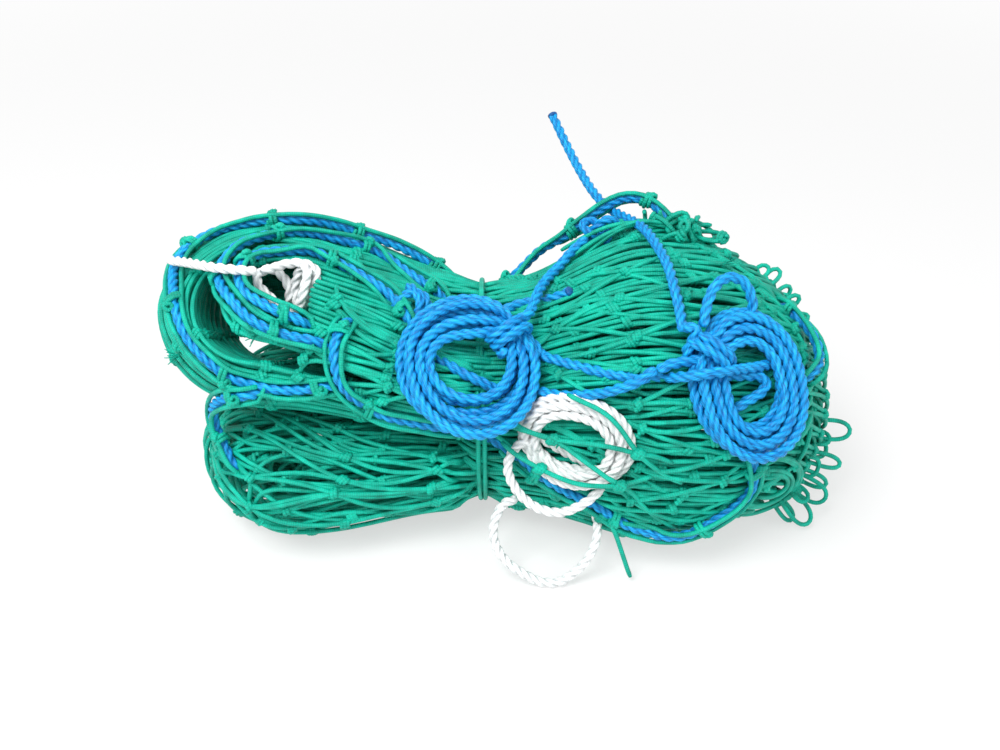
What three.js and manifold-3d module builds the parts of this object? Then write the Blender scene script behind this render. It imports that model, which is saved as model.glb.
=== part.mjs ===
// A cargo climbing net of knotted twine, folded back and forth into a bundle and tied round its waist.
// Its border rope and its tie ropes are coiled into hanks that lie on the bundle's front.
// Millimetres. +X runs along the bundle, -Y is its front, +Z is up, and it rests on Z = 0.
import * as THREE from 'three';
import { mergeVertices } from 'three/addons/utils/BufferGeometryUtils.js';
import Module from 'manifold-3d';

const wasm = await Module();
wasm.setup();

// Driving dimensions of the bundle.
const WAIST_FROM = -24;
const WAIST_TO = 4;
const TIE_X = -10;
const LEFT_TIP_LOW = -177;
const LEFT_TIP_HIGH = -189;
const RIGHT_TIP = 191;
const WAIST_HALF_DEPTH = 63;
const WAIST_BOTTOM = 8;
const WAIST_TOP = 126;
const WAIST_SPLIT = 68.5;
const LOW_FOLD_HALF_DEPTH = 78;
const LOW_FOLD_TOP = 75;
const HIGH_FOLD_HALF_DEPTH = 66;
const HIGH_FOLD_BOTTOM = 79;
const HIGH_FOLD_TOP = 158;
const RIGHT_HALF_DEPTH = 86;
const RIGHT_TOP = 155;
const RIGHT_SPLIT = 70;
const FLOOR_PRESS = 2;

// Twine and rope sizes.
const TWINE = 3;
const BLUE_ROPE = 6;
const WHITE_ROPE = 5.5;
const CLEARANCE = 0.3;

// Tessellation.
const RING_POINTS = 20;
const LOBE_STEPS = 13;
const ROPE_SIDES = 8;
const ROPE_STEP = 12;

// ---------------------------------------------------------------- solids

function fromTriangles(positions, triangles) {
  const point = (i) => new THREE.Vector3().fromArray(positions, i * 3);
  let volume = 0;
  for (let i = 0; i < triangles.length; i += 3) {
    const [a, b, c] = [point(triangles[i]), point(triangles[i + 1]), point(triangles[i + 2])];
    volume += a.dot(b.cross(c));
  }
  const order = volume > 0 ? triangles : triangles.slice().reverse();
  return new wasm.Manifold(new wasm.Mesh({
    numProp: 3,
    vertProperties: new Float32Array(positions),
    triVerts: new Uint32Array(order),
  }));
}

function fromGeometry(geometry) {
  geometry.deleteAttribute('normal');
  geometry.deleteAttribute('uv');
  const merged = mergeVertices(geometry, 1e-4);
  return fromTriangles([...merged.attributes.position.array], [...merged.index.array]);
}

// A skin over rings of equally many points, with flat ends unless the rings close on themselves.
function loft(rings, closed = false) {
  const count = rings[0].length;
  const positions = rings.flat().flatMap((p) => [p.x, p.y, p.z]);
  const triangles = [];
  const spans = closed ? rings.length : rings.length - 1;
  for (let i = 0; i < spans; i += 1) {
    const a = i * count;
    const b = ((i + 1) % rings.length) * count;
    for (let k = 0; k < count; k += 1) {
      const next = (k + 1) % count;
      triangles.push(a + k, a + next, b + next, a + k, b + next, b + k);
    }
  }
  if (!closed) {
    const last = (rings.length - 1) * count;
    for (let k = 1; k < count - 1; k += 1) {
      triangles.push(0, k + 1, k, last, last + k, last + k + 1);
    }
  }
  return fromTriangles(positions, triangles);
}

const cut = (solid, ...tools) => tools.reduce((rest, tool) => rest.subtract(tool), solid);

function box(low, high) {
  const size = new THREE.Vector3().subVectors(high, low);
  const geometry = new THREE.BoxGeometry(size.x, size.y, size.z);
  geometry.translate(...new THREE.Vector3().addVectors(low, high).multiplyScalar(0.5));
  return fromGeometry(geometry);
}

const everything = (low, high) => box(
  new THREE.Vector3(low.x ?? -400, low.y ?? -400, low.z ?? -400),
  new THREE.Vector3(high.x ?? 400, high.y ?? 400, high.z ?? 400),
);

// ---------------------------------------------------------------- rope

const points = (list) => list.map((p) => new THREE.Vector3(...p));

function tube(path, radius) {
  const section = new THREE.Shape();
  for (let k = 0; k < ROPE_SIDES; k += 1) {
    const angle = (k / ROPE_SIDES) * 2 * Math.PI;
    const [x, y] = [radius * Math.cos(angle), radius * Math.sin(angle)];
    if (k === 0) section.moveTo(x, y);
    else section.lineTo(x, y);
  }
  section.closePath();
  return fromGeometry(new THREE.ExtrudeGeometry(section, {
    steps: Math.max(3, Math.round(path.getLength() / ROPE_STEP)),
    bevelEnabled: false,
    extrudePath: path,
  }));
}

const ropePath = (list) => new THREE.CatmullRomCurve3(points(list), false, 'centripetal');
const rope = (list, diameter) => tube(ropePath(list), diameter / 2);

// The room a rope lies in: its own run, a little wider, and a little longer at both ends.
function groove(list, diameter) {
  const path = ropePath(list);
  const radius = diameter / 2 + CLEARANCE;
  const stub = (t, side) => {
    const end = path.getPointAt(t);
    const along = path.getTangentAt(t).multiplyScalar(side);
    return tube(new THREE.LineCurve3(
      end.clone().addScaledVector(along, -1),
      end.clone().addScaledVector(along, CLEARANCE),
    ), radius);
  };
  return tube(path, radius).add(stub(0, -1)).add(stub(1, 1));
}

// ---------------------------------------------------------------- folded netting

const smooth = (t) => {
  const c = THREE.MathUtils.clamp(t, 0, 1);
  return c * c * (3 - 2 * c);
};
const mix = THREE.MathUtils.lerp;

// A lobe swells from the waist to its belly and rounds off to its tip.
// waist and belly: centre y, half depth, bottom, top. powers: front top, back top, back bottom, front bottom.
const WAIST = [0, WAIST_HALF_DEPTH, WAIST_BOTTOM, WAIST_TOP];
const lowerLeft = {
  from: WAIST_FROM, tip: LEFT_TIP_LOW, tipY: 0, tipZ: 34, bellyAt: 0.6, roundFrom: 0.6,
  waist: [0, WAIST_HALF_DEPTH, WAIST_BOTTOM, WAIST_SPLIT - 0.5],
  belly: [0, LOW_FOLD_HALF_DEPTH, -FLOOR_PRESS, LOW_FOLD_TOP],
  powers: [3.4, 3.4, 2.6, 2.4],
};
const upperLeft = {
  from: WAIST_FROM, tip: LEFT_TIP_HIGH, tipY: 6, tipZ: 120, bellyAt: 0.6, roundFrom: 0.6,
  waist: [0, WAIST_HALF_DEPTH - 1, WAIST_SPLIT + 0.5, WAIST_TOP],
  belly: [8, HIGH_FOLD_HALF_DEPTH, HIGH_FOLD_BOTTOM, HIGH_FOLD_TOP],
  powers: [2.4, 2.6, 3.4, 3.4],
};
const right = {
  from: WAIST_TO, tip: RIGHT_TIP, tipY: 2, tipZ: 50, bellyAt: 0.42, roundFrom: 0.38,
  waist: WAIST,
  belly: [0, RIGHT_HALF_DEPTH, -FLOOR_PRESS, RIGHT_TOP],
  powers: [2.0, 2.4, 2.6, 3.0],
};

function sectionRing(x, [y, halfDepth, bottom, top], powers, grow) {
  const centre = (bottom + top) / 2;
  const depth = halfDepth + grow;
  const height = (top - bottom) / 2 + grow;
  return Array.from({ length: RING_POINTS }, (_, k) => {
    const angle = ((k + 0.5) / RING_POINTS) * 2 * Math.PI;
    const [c, s] = [Math.cos(angle), Math.sin(angle)];
    const quadrant = c < 0 ? (s >= 0 ? 0 : 3) : (s >= 0 ? 1 : 2);
    const power = 2 / powers[quadrant];
    const across = y + depth * Math.sign(c) * Math.abs(c) ** power;
    const up = centre + height * Math.sign(s) * Math.abs(s) ** power;
    return new THREE.Vector3(x, across, Math.max(up, 0));
  });
}

function lobe(shape, grow = 0, tip = shape.tip) {
  const rings = [];
  for (let i = 0; i <= LOBE_STEPS; i += 1) {
    const t = Math.sin((i / LOBE_STEPS) * Math.PI * 0.46);
    const swell = smooth(t / shape.bellyAt);
    const section = shape.waist.map((value, k) => mix(value, shape.belly[k], swell));
    const past = Math.max(0, (t - shape.roundFrom) / (1 - shape.roundFrom));
    const close = Math.sqrt(1 - past * past);
    const rounded = [
      mix(shape.tipY, section[0], close),
      section[1] * close,
      mix(shape.tipZ, section[2], close),
      mix(shape.tipZ, section[3], close),
    ];
    rings.push(sectionRing(mix(shape.from, tip, t), rounded, shape.powers, grow));
  }
  return loft(rings);
}

// The opening of the high fold looks up and forward, so what sits in it is drawn in a tilted frame:
// x along the bundle, y up the slope, z out of the opening.
const EYE_TILT = THREE.MathUtils.degToRad(55);
const EYE_FRAME = new THREE.Matrix4().makeTranslation(0, 20, 62)
  .multiply(new THREE.Matrix4().makeRotationX(EYE_TILT));

// A slot with a round left end that runs to the right, widening from one radius to the other.
function slot(start, startRadius, end, endRadius, from, to, inset = 0, rightEnd = end.x) {
  const outline = new THREE.Shape();
  const [r0, r1] = [startRadius - inset, endRadius - inset];
  outline.moveTo(start.x, start.y + r0);
  outline.absarc(start.x, start.y, r0, Math.PI / 2, 1.5 * Math.PI, false);
  outline.lineTo(end.x, end.y - r1);
  outline.lineTo(end.x, end.y + r1);
  outline.closePath();
  const geometry = new THREE.ExtrudeGeometry(outline, {
    depth: to - from, bevelEnabled: false, curveSegments: 12,
  });
  geometry.translate(0, 0, from);
  geometry.applyMatrix4(EYE_FRAME);
  return fromGeometry(geometry).intersect(everything({}, { x: rightEnd }));
}

const EYE_RIGHT = new THREE.Vector2(WAIST_FROM - 9, 17);
const THROUGH = 160;
const TUNNEL = { start: new THREE.Vector2(-126, 41), r0: 33, r1: 33 };
const INNER = { start: new THREE.Vector2(-118, 44), r0: 27, r1: 33 };
const POCKET = { start: new THREE.Vector2(-117, 47), r0: 17, r1: 22, floor: 45 };
const FLAP_EDGE = -98;
const WHITE_HANK_HEIGHT = 38;

const tunnel = slot(TUNNEL.start, TUNNEL.r0, EYE_RIGHT, TUNNEL.r1, -THROUGH, THROUGH);
const innerSlot = slot(
  INNER.start, INNER.r0, EYE_RIGHT, INNER.r1, -THROUGH, THROUGH, CLEARANCE, EYE_RIGHT.x - CLEARANCE,
);
const pocket = slot(POCKET.start, POCKET.r0, EYE_RIGHT, POCKET.r1, POCKET.floor, THROUGH);
const inPocket = (from, to, left, rightEnd) => slot(
  POCKET.start, POCKET.r0, EYE_RIGHT, POCKET.r1, from, to, CLEARANCE, rightEnd,
).intersect(everything({ x: left }, {}));

// ---------------------------------------------------------------- rope routes

const ROUTES = {
  border_rope_high: [
    [-88, -60, 111], [-103, -59, 108], [-114, -59, 108], [-129, -58, 111], [-139, -57, 114], [-150, -52, 121],
    [-159, -46, 128], [-165, -39, 135], [-169, -30, 141], [-172, -19, 144], [-175, -6, 146], [-176, 8, 147],
    [-172, 17, 150], [-163, 25, 153], [-152, 31, 155], [-135, 31, 159], [-119, 31, 160], [-101, 36, 156],
    [-81, 45, 144], [-58, 47, 134], [-36, 46, 120], [-21, 42, 110], [-10, 41, 106], [1, 42, 110], [12, 47, 119],
    [24, 51, 130], [38, 53, 138], [46, 55, 144], [58, 59, 152], [70, 61, 158], [81, 59, 159], [90, 54, 156],
    [98, 47, 149],
  ],
  border_rope_low: [
    [-80, -42, 137], [-84, -52, 132], [-84, -58, 124], [-82, -61, 115], [-77, -61, 106], [-70, -61, 100],
    [-61, -62, 94], [-45, -62, 89], [-30, -60, 84], [-18, -57, 80], [-10, -56, 77], [-2, -58, 73], [12, -63, 65],
    [22, -67, 57], [31, -70, 52], [39, -72, 48], [50, -75, 44], [57, -76, 39], [69, -79, 32], [80, -81, 29],
    [88, -82, 27], [98, -83, 28], [108, -82, 32], [118, -79, 37], [128, -75, 43], [134, -73, 52], [134, -74, 64],
    [132, -75, 73],
  ],
  fold_rope_outer: [
    [-35, 8, 127], [-46, 17, 130], [-53, 22, 132], [-68, 32, 138], [-90, 26, 150], [-111, 20, 158], [-130, 12, 159],
    [-140, 5, 158], [-145, -4, 156], [-147, -16, 154], [-144, -28, 152], [-136, -39, 149], [-128, -47, 145],
    [-119, -51, 141], [-106, -53, 137], [-95, -54, 135],
  ],
  fold_rope_inner: [
    [-49, -24, 130], [-55, -14, 133], [-62, -8, 137], [-73, -4, 143], [-86, 0, 149], [-101, 3, 155], [-114, -2, 158],
    [-127, -5, 158], [-134, -12, 157], [-135, -24, 155], [-131, -34, 152], [-123, -40, 150], [-114, -44, 147],
    [-105, -46, 144],
  ],
  border_rope_end: [
    [-131, -64, 108], [-142, -59, 103], [-150, -52, 94], [-154, -47, 85], [-154, -48, 76], [-149, -54, 66],
    [-144, -60, 58],
  ],
  border_rope_right: [
    [156, 0, 122], [163, -10, 121], [168, -16, 117], [172, -22, 111], [172, -30, 106], [167, -38, 104],
  ],
  left_lead: [
    [16, -25, 134], [19, -15, 136], [21, -8, 137], [26, 5, 137], [33, 17, 138], [41, 28, 142], [49, 36, 145],
  ],
  left_tail: [[2, -10, 126], [11, -5, 127], [20, -4, 128], [30, -8, 133], [38, -10, 138]],
  link_rope_high: [
    [22, -41, 117], [31, -47, 118], [41, -54, 119], [51, -60, 120], [61, -65, 121], [70, -68, 122], [84, -68, 123],
  ],
  link_rope_low: [
    [20, -56, 105], [31, -61, 106], [41, -65, 109], [51, -69, 113], [60, -73, 119], [69, -75, 125], [77, -72, 130],
  ],
  right_tail: [
    [91, -58, 144], [91, -46, 147], [90, -33, 151], [88, -14, 156], [84, 6, 158], [80, 25, 157], [76, 40, 154],
    [70, 54, 151], [64, 68, 149], [57, 85, 150], [50, 103, 155], [42, 123, 164], [33, 143, 177],
  ],
  white_end: [[12, -62, 85], [22, -65, 80.5], [37, -69, 73], [53, -73, 65], [61, -75, 60]],
  white_tail: [
    [54, -80, 60], [45, -83, 52], [32, -84, 46], [19, -81, 47], [9, -77, 55], [4, -72, 66], [7, -68, 75],
    [14, -67, 80], [22, -69, 74], [29, -71, 68], [36, -71, 62], [43, -69, 56], [48, -68, 49], [50, -67, 42],
    [52, -71, 35], [53, -77, 29], [52, -82, 23], [48, -87, 16], [41, -90, 8], [32, -93, 3.4], [22, -93, 3.4],
    [11, -91, 9], [2, -87, 15], [-3, -82, 23], [-3, -77, 33], [2, -72, 41], [9, -72, 45],
  ],
  white_lead: [
    [-177, -3, 153], [-168, -10, 156], [-158, -18, 159], [-147, -25, 161], [-135, -27.5, 161], [-125, -26, 159],
  ],
  twine_end: [[60, -81, 34.2], [63, -82, 27], [67, -85, 17], [70, -88, 7]],
};

// ---------------------------------------------------------------- hanks

// A hank lies in its own plane: x to its right, y up the slope, z out of the bundle.
function hankFrame(centre, normal) {
  const out = normal.clone().normalize();
  const up = new THREE.Vector3(0, 0, 1).addScaledVector(out, -out.z).normalize();
  const across = new THREE.Vector3().crossVectors(up, out);
  return new THREE.Matrix4().makeBasis(across, up, out).setPosition(centre);
}

const LEFT_HANK = {
  frame: hankFrame(new THREE.Vector3(-14.5, -50.2, 119.7), new THREE.Vector3(0.15, -0.64, 0.755)),
  outer: new THREE.Vector2(35, 36), inner: 15, thick: 13, wrapTurn: THREE.MathUtils.degToRad(32),
};
const RIGHT_HANK = {
  frame: hankFrame(new THREE.Vector3(126, -66.7, 118), new THREE.Vector3(0.33, -0.74, 0.59)),
  outer: new THREE.Vector2(32, 38.5), inner: 14, thick: 13,
};
const WHITE_COIL = {
  frame: hankFrame(new THREE.Vector3(38.4, -72.3, 84.6), new THREE.Vector3(-0.31, -0.92, 0.2)),
  outer: new THREE.Vector2(33, 27), inner: 14, thick: 9.5,
};
const WRAP_LENGTH = 13;
const WRAP_THICK = 15;
const WRAP_REACH = 24;
const EAR = { x: -9, y: 45, width: 25, height: 19 };

function place(geometry, frame) {
  geometry.applyMatrix4(frame);
  return fromGeometry(geometry);
}

// A round coil of rope: a rounded ring, stretched to the hank's outline.
function coilRing(hank) {
  const half = hank.thick / 2;
  const soft = half * 0.6;
  const outer = 1;
  const inner = hank.inner / hank.outer.x;
  const bevel = soft / hank.outer.x;
  const profile = [
    [inner, -half + soft], [inner + bevel, -half], [outer - bevel, -half], [outer, -half + soft],
    [outer, half - soft], [outer - bevel, half], [inner + bevel, half], [inner, half - soft],
    [inner, -half + soft],
  ].map(([r, z]) => new THREE.Vector2(r, z));
  const geometry = new THREE.LatheGeometry(profile, 28);
  geometry.rotateX(Math.PI / 2);
  geometry.scale(hank.outer.x, hank.outer.y, 1);
  return place(geometry, hank.frame);
}

// The turns that bind a hank: a stadium across the coil, round where the hank swings on it.
function wrap(hank, pivot, turn, offset, reach, extra = 0) {
  const r = WRAP_THICK / 2 + extra;
  const outline = new THREE.Shape();
  outline.moveTo(0, -r);
  outline.absarc(0, 0, r, -Math.PI / 2, Math.PI / 2, false);
  outline.lineTo(-reach - extra, r);
  outline.lineTo(-reach - extra, -r);
  outline.closePath();
  const length = WRAP_LENGTH + 2 * extra;
  const geometry = new THREE.ExtrudeGeometry(outline, { depth: length, bevelEnabled: false, curveSegments: 8 });
  geometry.translate(pivot, 0, -length / 2 - offset);
  geometry.rotateX(Math.PI / 2);
  geometry.rotateZ(turn);
  return place(geometry, hank.frame);
}

// Room above a hank's bed: everything over its outline, from a gap under its wrap.
const SEAT_GAP = 0.5;
const SEAT_EDGE = 1.5;
const SEAT_DEPTH = 90;
const seatFloor = (gap) => -WRAP_THICK / 2 - gap;

function bed(hank, gap, edge) {
  const reach = hank.outer.clone().addScalar(edge);
  const outline = new THREE.Shape();
  outline.absellipse(0, 0, reach.x, reach.y, 0, 2 * Math.PI);
  const geometry = new THREE.ExtrudeGeometry(outline, { depth: SEAT_DEPTH, bevelEnabled: false, curveSegments: 10 });
  geometry.translate(0, 0, seatFloor(gap));
  return place(geometry, hank.frame);
}

// Room for a hank to lie in and to swing out of: its bed and a strip past its hinge.
function seat(hank, pivot, turn) {
  const wide = 2 * (hank.outer.y + SEAT_EDGE);
  const strip = new THREE.BoxGeometry(pivot + 9, wide, SEAT_DEPTH);
  strip.translate((pivot + 9) / 2, 0, seatFloor(SEAT_GAP) + SEAT_DEPTH / 2);
  strip.rotateZ(turn);
  return bed(hank, SEAT_GAP, SEAT_EDGE).add(place(strip, hank.frame));
}

const LEFT_PIVOT = 31.5;
const RIGHT_PIVOT = 33;
const RIGHT_TURN = Math.PI;
const RIGHT_WRAP_UP = 24;

// The room a hank's coil lies in, a clearance wider all round.
const coilRoom = (hank) => coilRing({
  ...hank,
  outer: hank.outer.clone().addScalar(CLEARANCE),
  thick: hank.thick + 2 * CLEARANCE,
});

const leftWrap = wrap(LEFT_HANK, LEFT_PIVOT, LEFT_HANK.wrapTurn, 0, WRAP_REACH);
const leftWrapRoom = wrap(LEFT_HANK, LEFT_PIVOT, LEFT_HANK.wrapTurn, 0, WRAP_REACH, CLEARANCE);
const leftCoil = cut(coilRing(LEFT_HANK), leftWrapRoom);
const rightWrap = wrap(RIGHT_HANK, RIGHT_PIVOT, RIGHT_TURN, -RIGHT_WRAP_UP, WRAP_REACH);
const rightWrapRoom = wrap(RIGHT_HANK, RIGHT_PIVOT, RIGHT_TURN, -RIGHT_WRAP_UP, WRAP_REACH, CLEARANCE);
const rightCoil = cut(coilRing(RIGHT_HANK), rightWrapRoom);

function earLoop() {
  const outline = new THREE.Shape();
  outline.absellipse(EAR.x, EAR.y, EAR.width / 2, EAR.height / 2, 0, 2 * Math.PI);
  const hole = new THREE.Path();
  hole.absellipse(EAR.x, EAR.y, EAR.width / 2 - BLUE_ROPE, EAR.height / 2 - BLUE_ROPE, 0, 2 * Math.PI, true);
  outline.holes.push(hole);
  const geometry = new THREE.ExtrudeGeometry(outline, { depth: BLUE_ROPE, bevelEnabled: false, curveSegments: 8 });
  geometry.translate(0, 0, -BLUE_ROPE / 2);
  return place(geometry, RIGHT_HANK.frame);
}
const rightEar = cut(earLoop(), coilRoom(RIGHT_HANK), rightWrapRoom);

// The hitch that ties the left lead to the border rope.
const HITCH = { centre: new THREE.Vector3(57, 41, 147), size: new THREE.Vector3(10, 7.5, 6.5) };
function blob({ centre, size }, extra = 0) {
  const geometry = new THREE.IcosahedronGeometry(1, 2);
  geometry.scale(size.x + extra, size.y + extra, size.z + extra);
  geometry.translate(...centre);
  return fromGeometry(geometry);
}
const BUNCH = { centre: new THREE.Vector3(100, 40, 151), size: new THREE.Vector3(22, 19, 12) };

// ---------------------------------------------------------------- the waist and its tie

const WAIST_POWERS = [2.2, 2.2, 2.2, 2.2];
const waistRing = (x, grow) => sectionRing(x, WAIST, WAIST_POWERS, grow);
const waist = loft([
  waistRing(WAIST_FROM + CLEARANCE, 0), waistRing(TIE_X, -1), waistRing(WAIST_TO - CLEARANCE, 0),
]);

function tieRing() {
  const radius = TWINE / 2;
  const middle = waistRing(TIE_X, -1 + radius + CLEARANCE);
  const core = new THREE.Vector3(TIE_X, 0, (WAIST_BOTTOM + WAIST_TOP) / 2);
  const rings = middle.map((p) => {
    const outward = p.clone().sub(core).normalize();
    return Array.from({ length: 6 }, (_, k) => {
      const angle = (k / 6) * 2 * Math.PI;
      return p.clone().addScaledVector(outward, radius * Math.cos(angle)).add(
        new THREE.Vector3(radius * Math.sin(angle), 0, 0),
      );
    });
  });
  return loft(rings, true);
}

// ---------------------------------------------------------------- the assembly

const green = new THREE.MeshStandardMaterial({ color: 0x0fa67a, roughness: 0.55, metalness: 0 });
const blue = new THREE.MeshStandardMaterial({ color: 0x1478d4, roughness: 0.4, metalness: 0 });
const white = new THREE.MeshStandardMaterial({ color: 0xe9ecec, roughness: 0.45, metalness: 0 });

const group = new THREE.Group();

function addPiece(name, solid, material) {
  const { vertProperties, triVerts } = solid.getMesh();
  const geometry = new THREE.BufferGeometry();
  geometry.setAttribute('position', new THREE.BufferAttribute(new Float32Array(vertProperties), 3));
  geometry.setIndex(new THREE.BufferAttribute(new Uint32Array(triVerts), 1));
  geometry.computeVertexNormals();
  const mesh = new THREE.Mesh(geometry, material);
  mesh.name = name;
  group.add(mesh);
}

const isWhite = (name) => name.startsWith('white');
const isTwine = (name) => name.startsWith('twine');
const diameterOf = (name) => (isWhite(name) ? WHITE_ROPE : isTwine(name) ? TWINE : BLUE_ROPE);
const hitchRoom = blob(HITCH, CLEARANCE);
const grooves = Object.entries(ROUTES).map(([name, route]) => groove(route, diameterOf(name)));
const seats = [
  seat(LEFT_HANK, LEFT_PIVOT, LEFT_HANK.wrapTurn),
  seat(RIGHT_HANK, RIGHT_PIVOT, RIGHT_TURN),
  seat({ ...WHITE_COIL, outer: WHITE_COIL.outer }, 0, 0),
];
const carve = (solid) => cut(solid, ...grooves, ...seats, hitchRoom);

const highLobe = lobe(upperLeft);
const rightLobe = lobe(right);
const RIGHT_LOOPS_FROM = 148;
const rightInside = lobe(right, -CLEARANCE, RIGHT_TIP - 14 - 2 * CLEARANCE);
const below = everything({}, { z: RIGHT_SPLIT - 0.2 });
const above = everything({ z: RIGHT_SPLIT + 0.2 }, {});
const lowerRight = rightLobe.intersect(below);
const loops = cut(
  lowerRight.intersect(everything({ x: RIGHT_LOOPS_FROM + CLEARANCE }, {})),
  lobe(right, 0, RIGHT_TIP - 14),
);
const loopsRoom = cut(everything({ x: RIGHT_LOOPS_FROM }, {}), rightInside);

addPiece('net_low_left_fold', carve(lobe(lowerLeft)), green);
addPiece('net_high_left_turn', cut(carve(highLobe), tunnel), green);
addPiece('net_inner_turn', cut(carve(highLobe.intersect(innerSlot)), pocket), green);
addPiece('net_flap', carve(highLobe.intersect(
  inPocket(POCKET.floor + CLEARANCE, THROUGH, FLAP_EDGE, EYE_RIGHT.x - 2 * CLEARANCE),
)), green);
addPiece('net_waist', carve(waist), green);
addPiece('net_low_right_fold', carve(cut(lowerRight, loopsRoom)), green);
addPiece('net_high_right_fold', carve(rightLobe.intersect(above)), green);
addPiece('net_end_loops', carve(loops), green);
addPiece('net_top_bunch', carve(cut(blob(BUNCH), lobe(right, CLEARANCE))), green);
addPiece('waist_tie', cut(tieRing(), leftWrapRoom, bed(LEFT_HANK, CLEARANCE, CLEARANCE)), green);

addPiece('left_hank_coil', leftCoil, blue);
addPiece('left_hank_wrap', leftWrap, blue);
addPiece('right_hank_coil', rightCoil, blue);
addPiece('right_hank_wrap', rightWrap, blue);
addPiece('right_hank_ear', rightEar, blue);
addPiece('border_hitch', cut(blob(HITCH), groove(ROUTES.border_rope_high, BLUE_ROPE)), blue);
addPiece('white_coil', cut(coilRing(WHITE_COIL), ...grooves), white);
addPiece('white_hank', cut(inPocket(
  POCKET.floor + CLEARANCE, POCKET.floor + WHITE_HANK_HEIGHT, -THROUGH * 2, FLAP_EDGE - CLEARANCE,
), ...grooves), white);

for (const [name, route] of Object.entries(ROUTES)) {
  const material = isWhite(name) ? white : isTwine(name) ? green : blue;
  addPiece(name, cut(rope(route, diameterOf(name)), hitchRoom), material);
}

export default group;
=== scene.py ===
"""A cargo climbing net of knotted green twine, folded into a bundle and tied round its waist.

A blue rope runs along its border. Blue tie ropes are coiled into two hanks on the bundle's front, with white
tie ropes between them. Lengths are millimetres in the frame of the CAD part, and each mesh is made in metres.
"""

import math

import bpy
import numpy as np
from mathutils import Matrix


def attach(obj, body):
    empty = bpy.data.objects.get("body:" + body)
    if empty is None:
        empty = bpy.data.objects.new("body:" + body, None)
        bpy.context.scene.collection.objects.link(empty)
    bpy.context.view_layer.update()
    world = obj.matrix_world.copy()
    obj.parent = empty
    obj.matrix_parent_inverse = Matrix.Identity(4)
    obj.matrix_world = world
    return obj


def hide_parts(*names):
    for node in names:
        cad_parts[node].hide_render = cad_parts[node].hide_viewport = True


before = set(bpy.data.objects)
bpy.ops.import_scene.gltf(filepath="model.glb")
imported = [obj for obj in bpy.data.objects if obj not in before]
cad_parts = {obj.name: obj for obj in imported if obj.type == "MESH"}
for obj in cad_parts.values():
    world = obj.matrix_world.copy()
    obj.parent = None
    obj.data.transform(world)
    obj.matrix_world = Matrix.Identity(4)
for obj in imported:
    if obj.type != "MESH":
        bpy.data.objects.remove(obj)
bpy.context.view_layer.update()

# ---------------------------------------------------------------- camera
# The bundle is seen from the front and from 35 degrees above the floor. Lengths here are metres.
CAMERA_RISE = math.radians(35)
CAMERA_REACH = 0.650
AIM = (0.0, 0.020, 0.062)
camera = bpy.data.objects.new("camera", bpy.data.cameras.new("camera"))
camera.data.lens = 39
camera.data.sensor_width = 36
camera.location = (
    AIM[0],
    AIM[1] - CAMERA_REACH * math.cos(CAMERA_RISE),
    AIM[2] + CAMERA_REACH * math.sin(CAMERA_RISE),
)
camera.rotation_euler = (math.pi / 2 - CAMERA_RISE, 0, 0)
bpy.context.scene.collection.objects.link(camera)
bpy.context.scene.camera = camera

# ---------------------------------------------------------------- blue tie ropes
# Three-strand polypropylene rope, 6 mm thick. Two ropes run between the hanks, one goes up to a hitch on the
# border rope, and two have free ends that were melted so that they don't fray.
BLUE_ROPE = 5.8
STRANDS = 3
LAY = 3.1  # how many diameters of rope a strand takes to go round once
ROPE_STEP = 1.5
ROPE_END = 0.72  # how wide a rope or twine is at its very end, as a share of its width
MM = 0.001


class Value:
    """A socket of a material's nodes. Operators on it add Math nodes."""

    def __init__(self, tree, socket):
        self.tree = tree
        self.socket = socket

    def node(self, kind, settings=None, output=0, **inputs):
        made = self.tree.nodes.new(kind)
        for key, setting in (settings or {}).items():
            setattr(made, key, setting)
        for key, value in inputs.items():
            socket = made.inputs[int(key[1:]) if key[0] == "_" else key.replace("_", " ")]
            if isinstance(value, Value):
                self.tree.links.new(value.socket, socket)
            else:
                socket.default_value = value
        return Value(self.tree, made.outputs[output])

    def math(self, operation, *values):
        numbered = {f"_{i}": value for i, value in enumerate(values)}
        return self.node("ShaderNodeMath", {"operation": operation}, **numbered)

    def __add__(self, other):
        return self.math("ADD", self, other)

    def __radd__(self, other):
        return self.math("ADD", other, self)

    def __sub__(self, other):
        return self.math("SUBTRACT", self, other)

    def __rsub__(self, other):
        return self.math("SUBTRACT", other, self)

    def __mul__(self, other):
        return self.math("MULTIPLY", self, other)

    def __rmul__(self, other):
        return self.math("MULTIPLY", other, self)

    def sine(self):
        return self.math("SINE", self)

    def clamped(self):
        made = self.math("ADD", self, 0.0)
        made.socket.node.use_clamp = True
        return made

    def colours(self, low, high):
        """A colour from low, where this value is 0, to high, where it is 1."""
        mixed = self.node("ShaderNodeMix", {"data_type": "RGBA"}, output=2, _0=self)
        for socket, colour in ((6, low), (7, high)):
            if isinstance(colour, Value):
                self.tree.links.new(colour.socket, mixed.socket.node.inputs[socket])
            else:
                mixed.socket.node.inputs[socket].default_value = (*colour, 1)
        return mixed


def new_material(name, roughness, specular):
    """An opaque material, with its shader node and a first Value to build on."""
    material = bpy.data.materials.new(name)
    material.use_nodes = True
    shader = material.node_tree.nodes["Principled BSDF"]
    shader.inputs["Roughness"].default_value = roughness
    shader.inputs["Specular IOR Level"].default_value = specular
    start = Value(material.node_tree, None)
    return material, shader, start


def plug(value, shader, socket):
    value.tree.links.new(value.socket, shader.inputs[socket])


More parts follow.
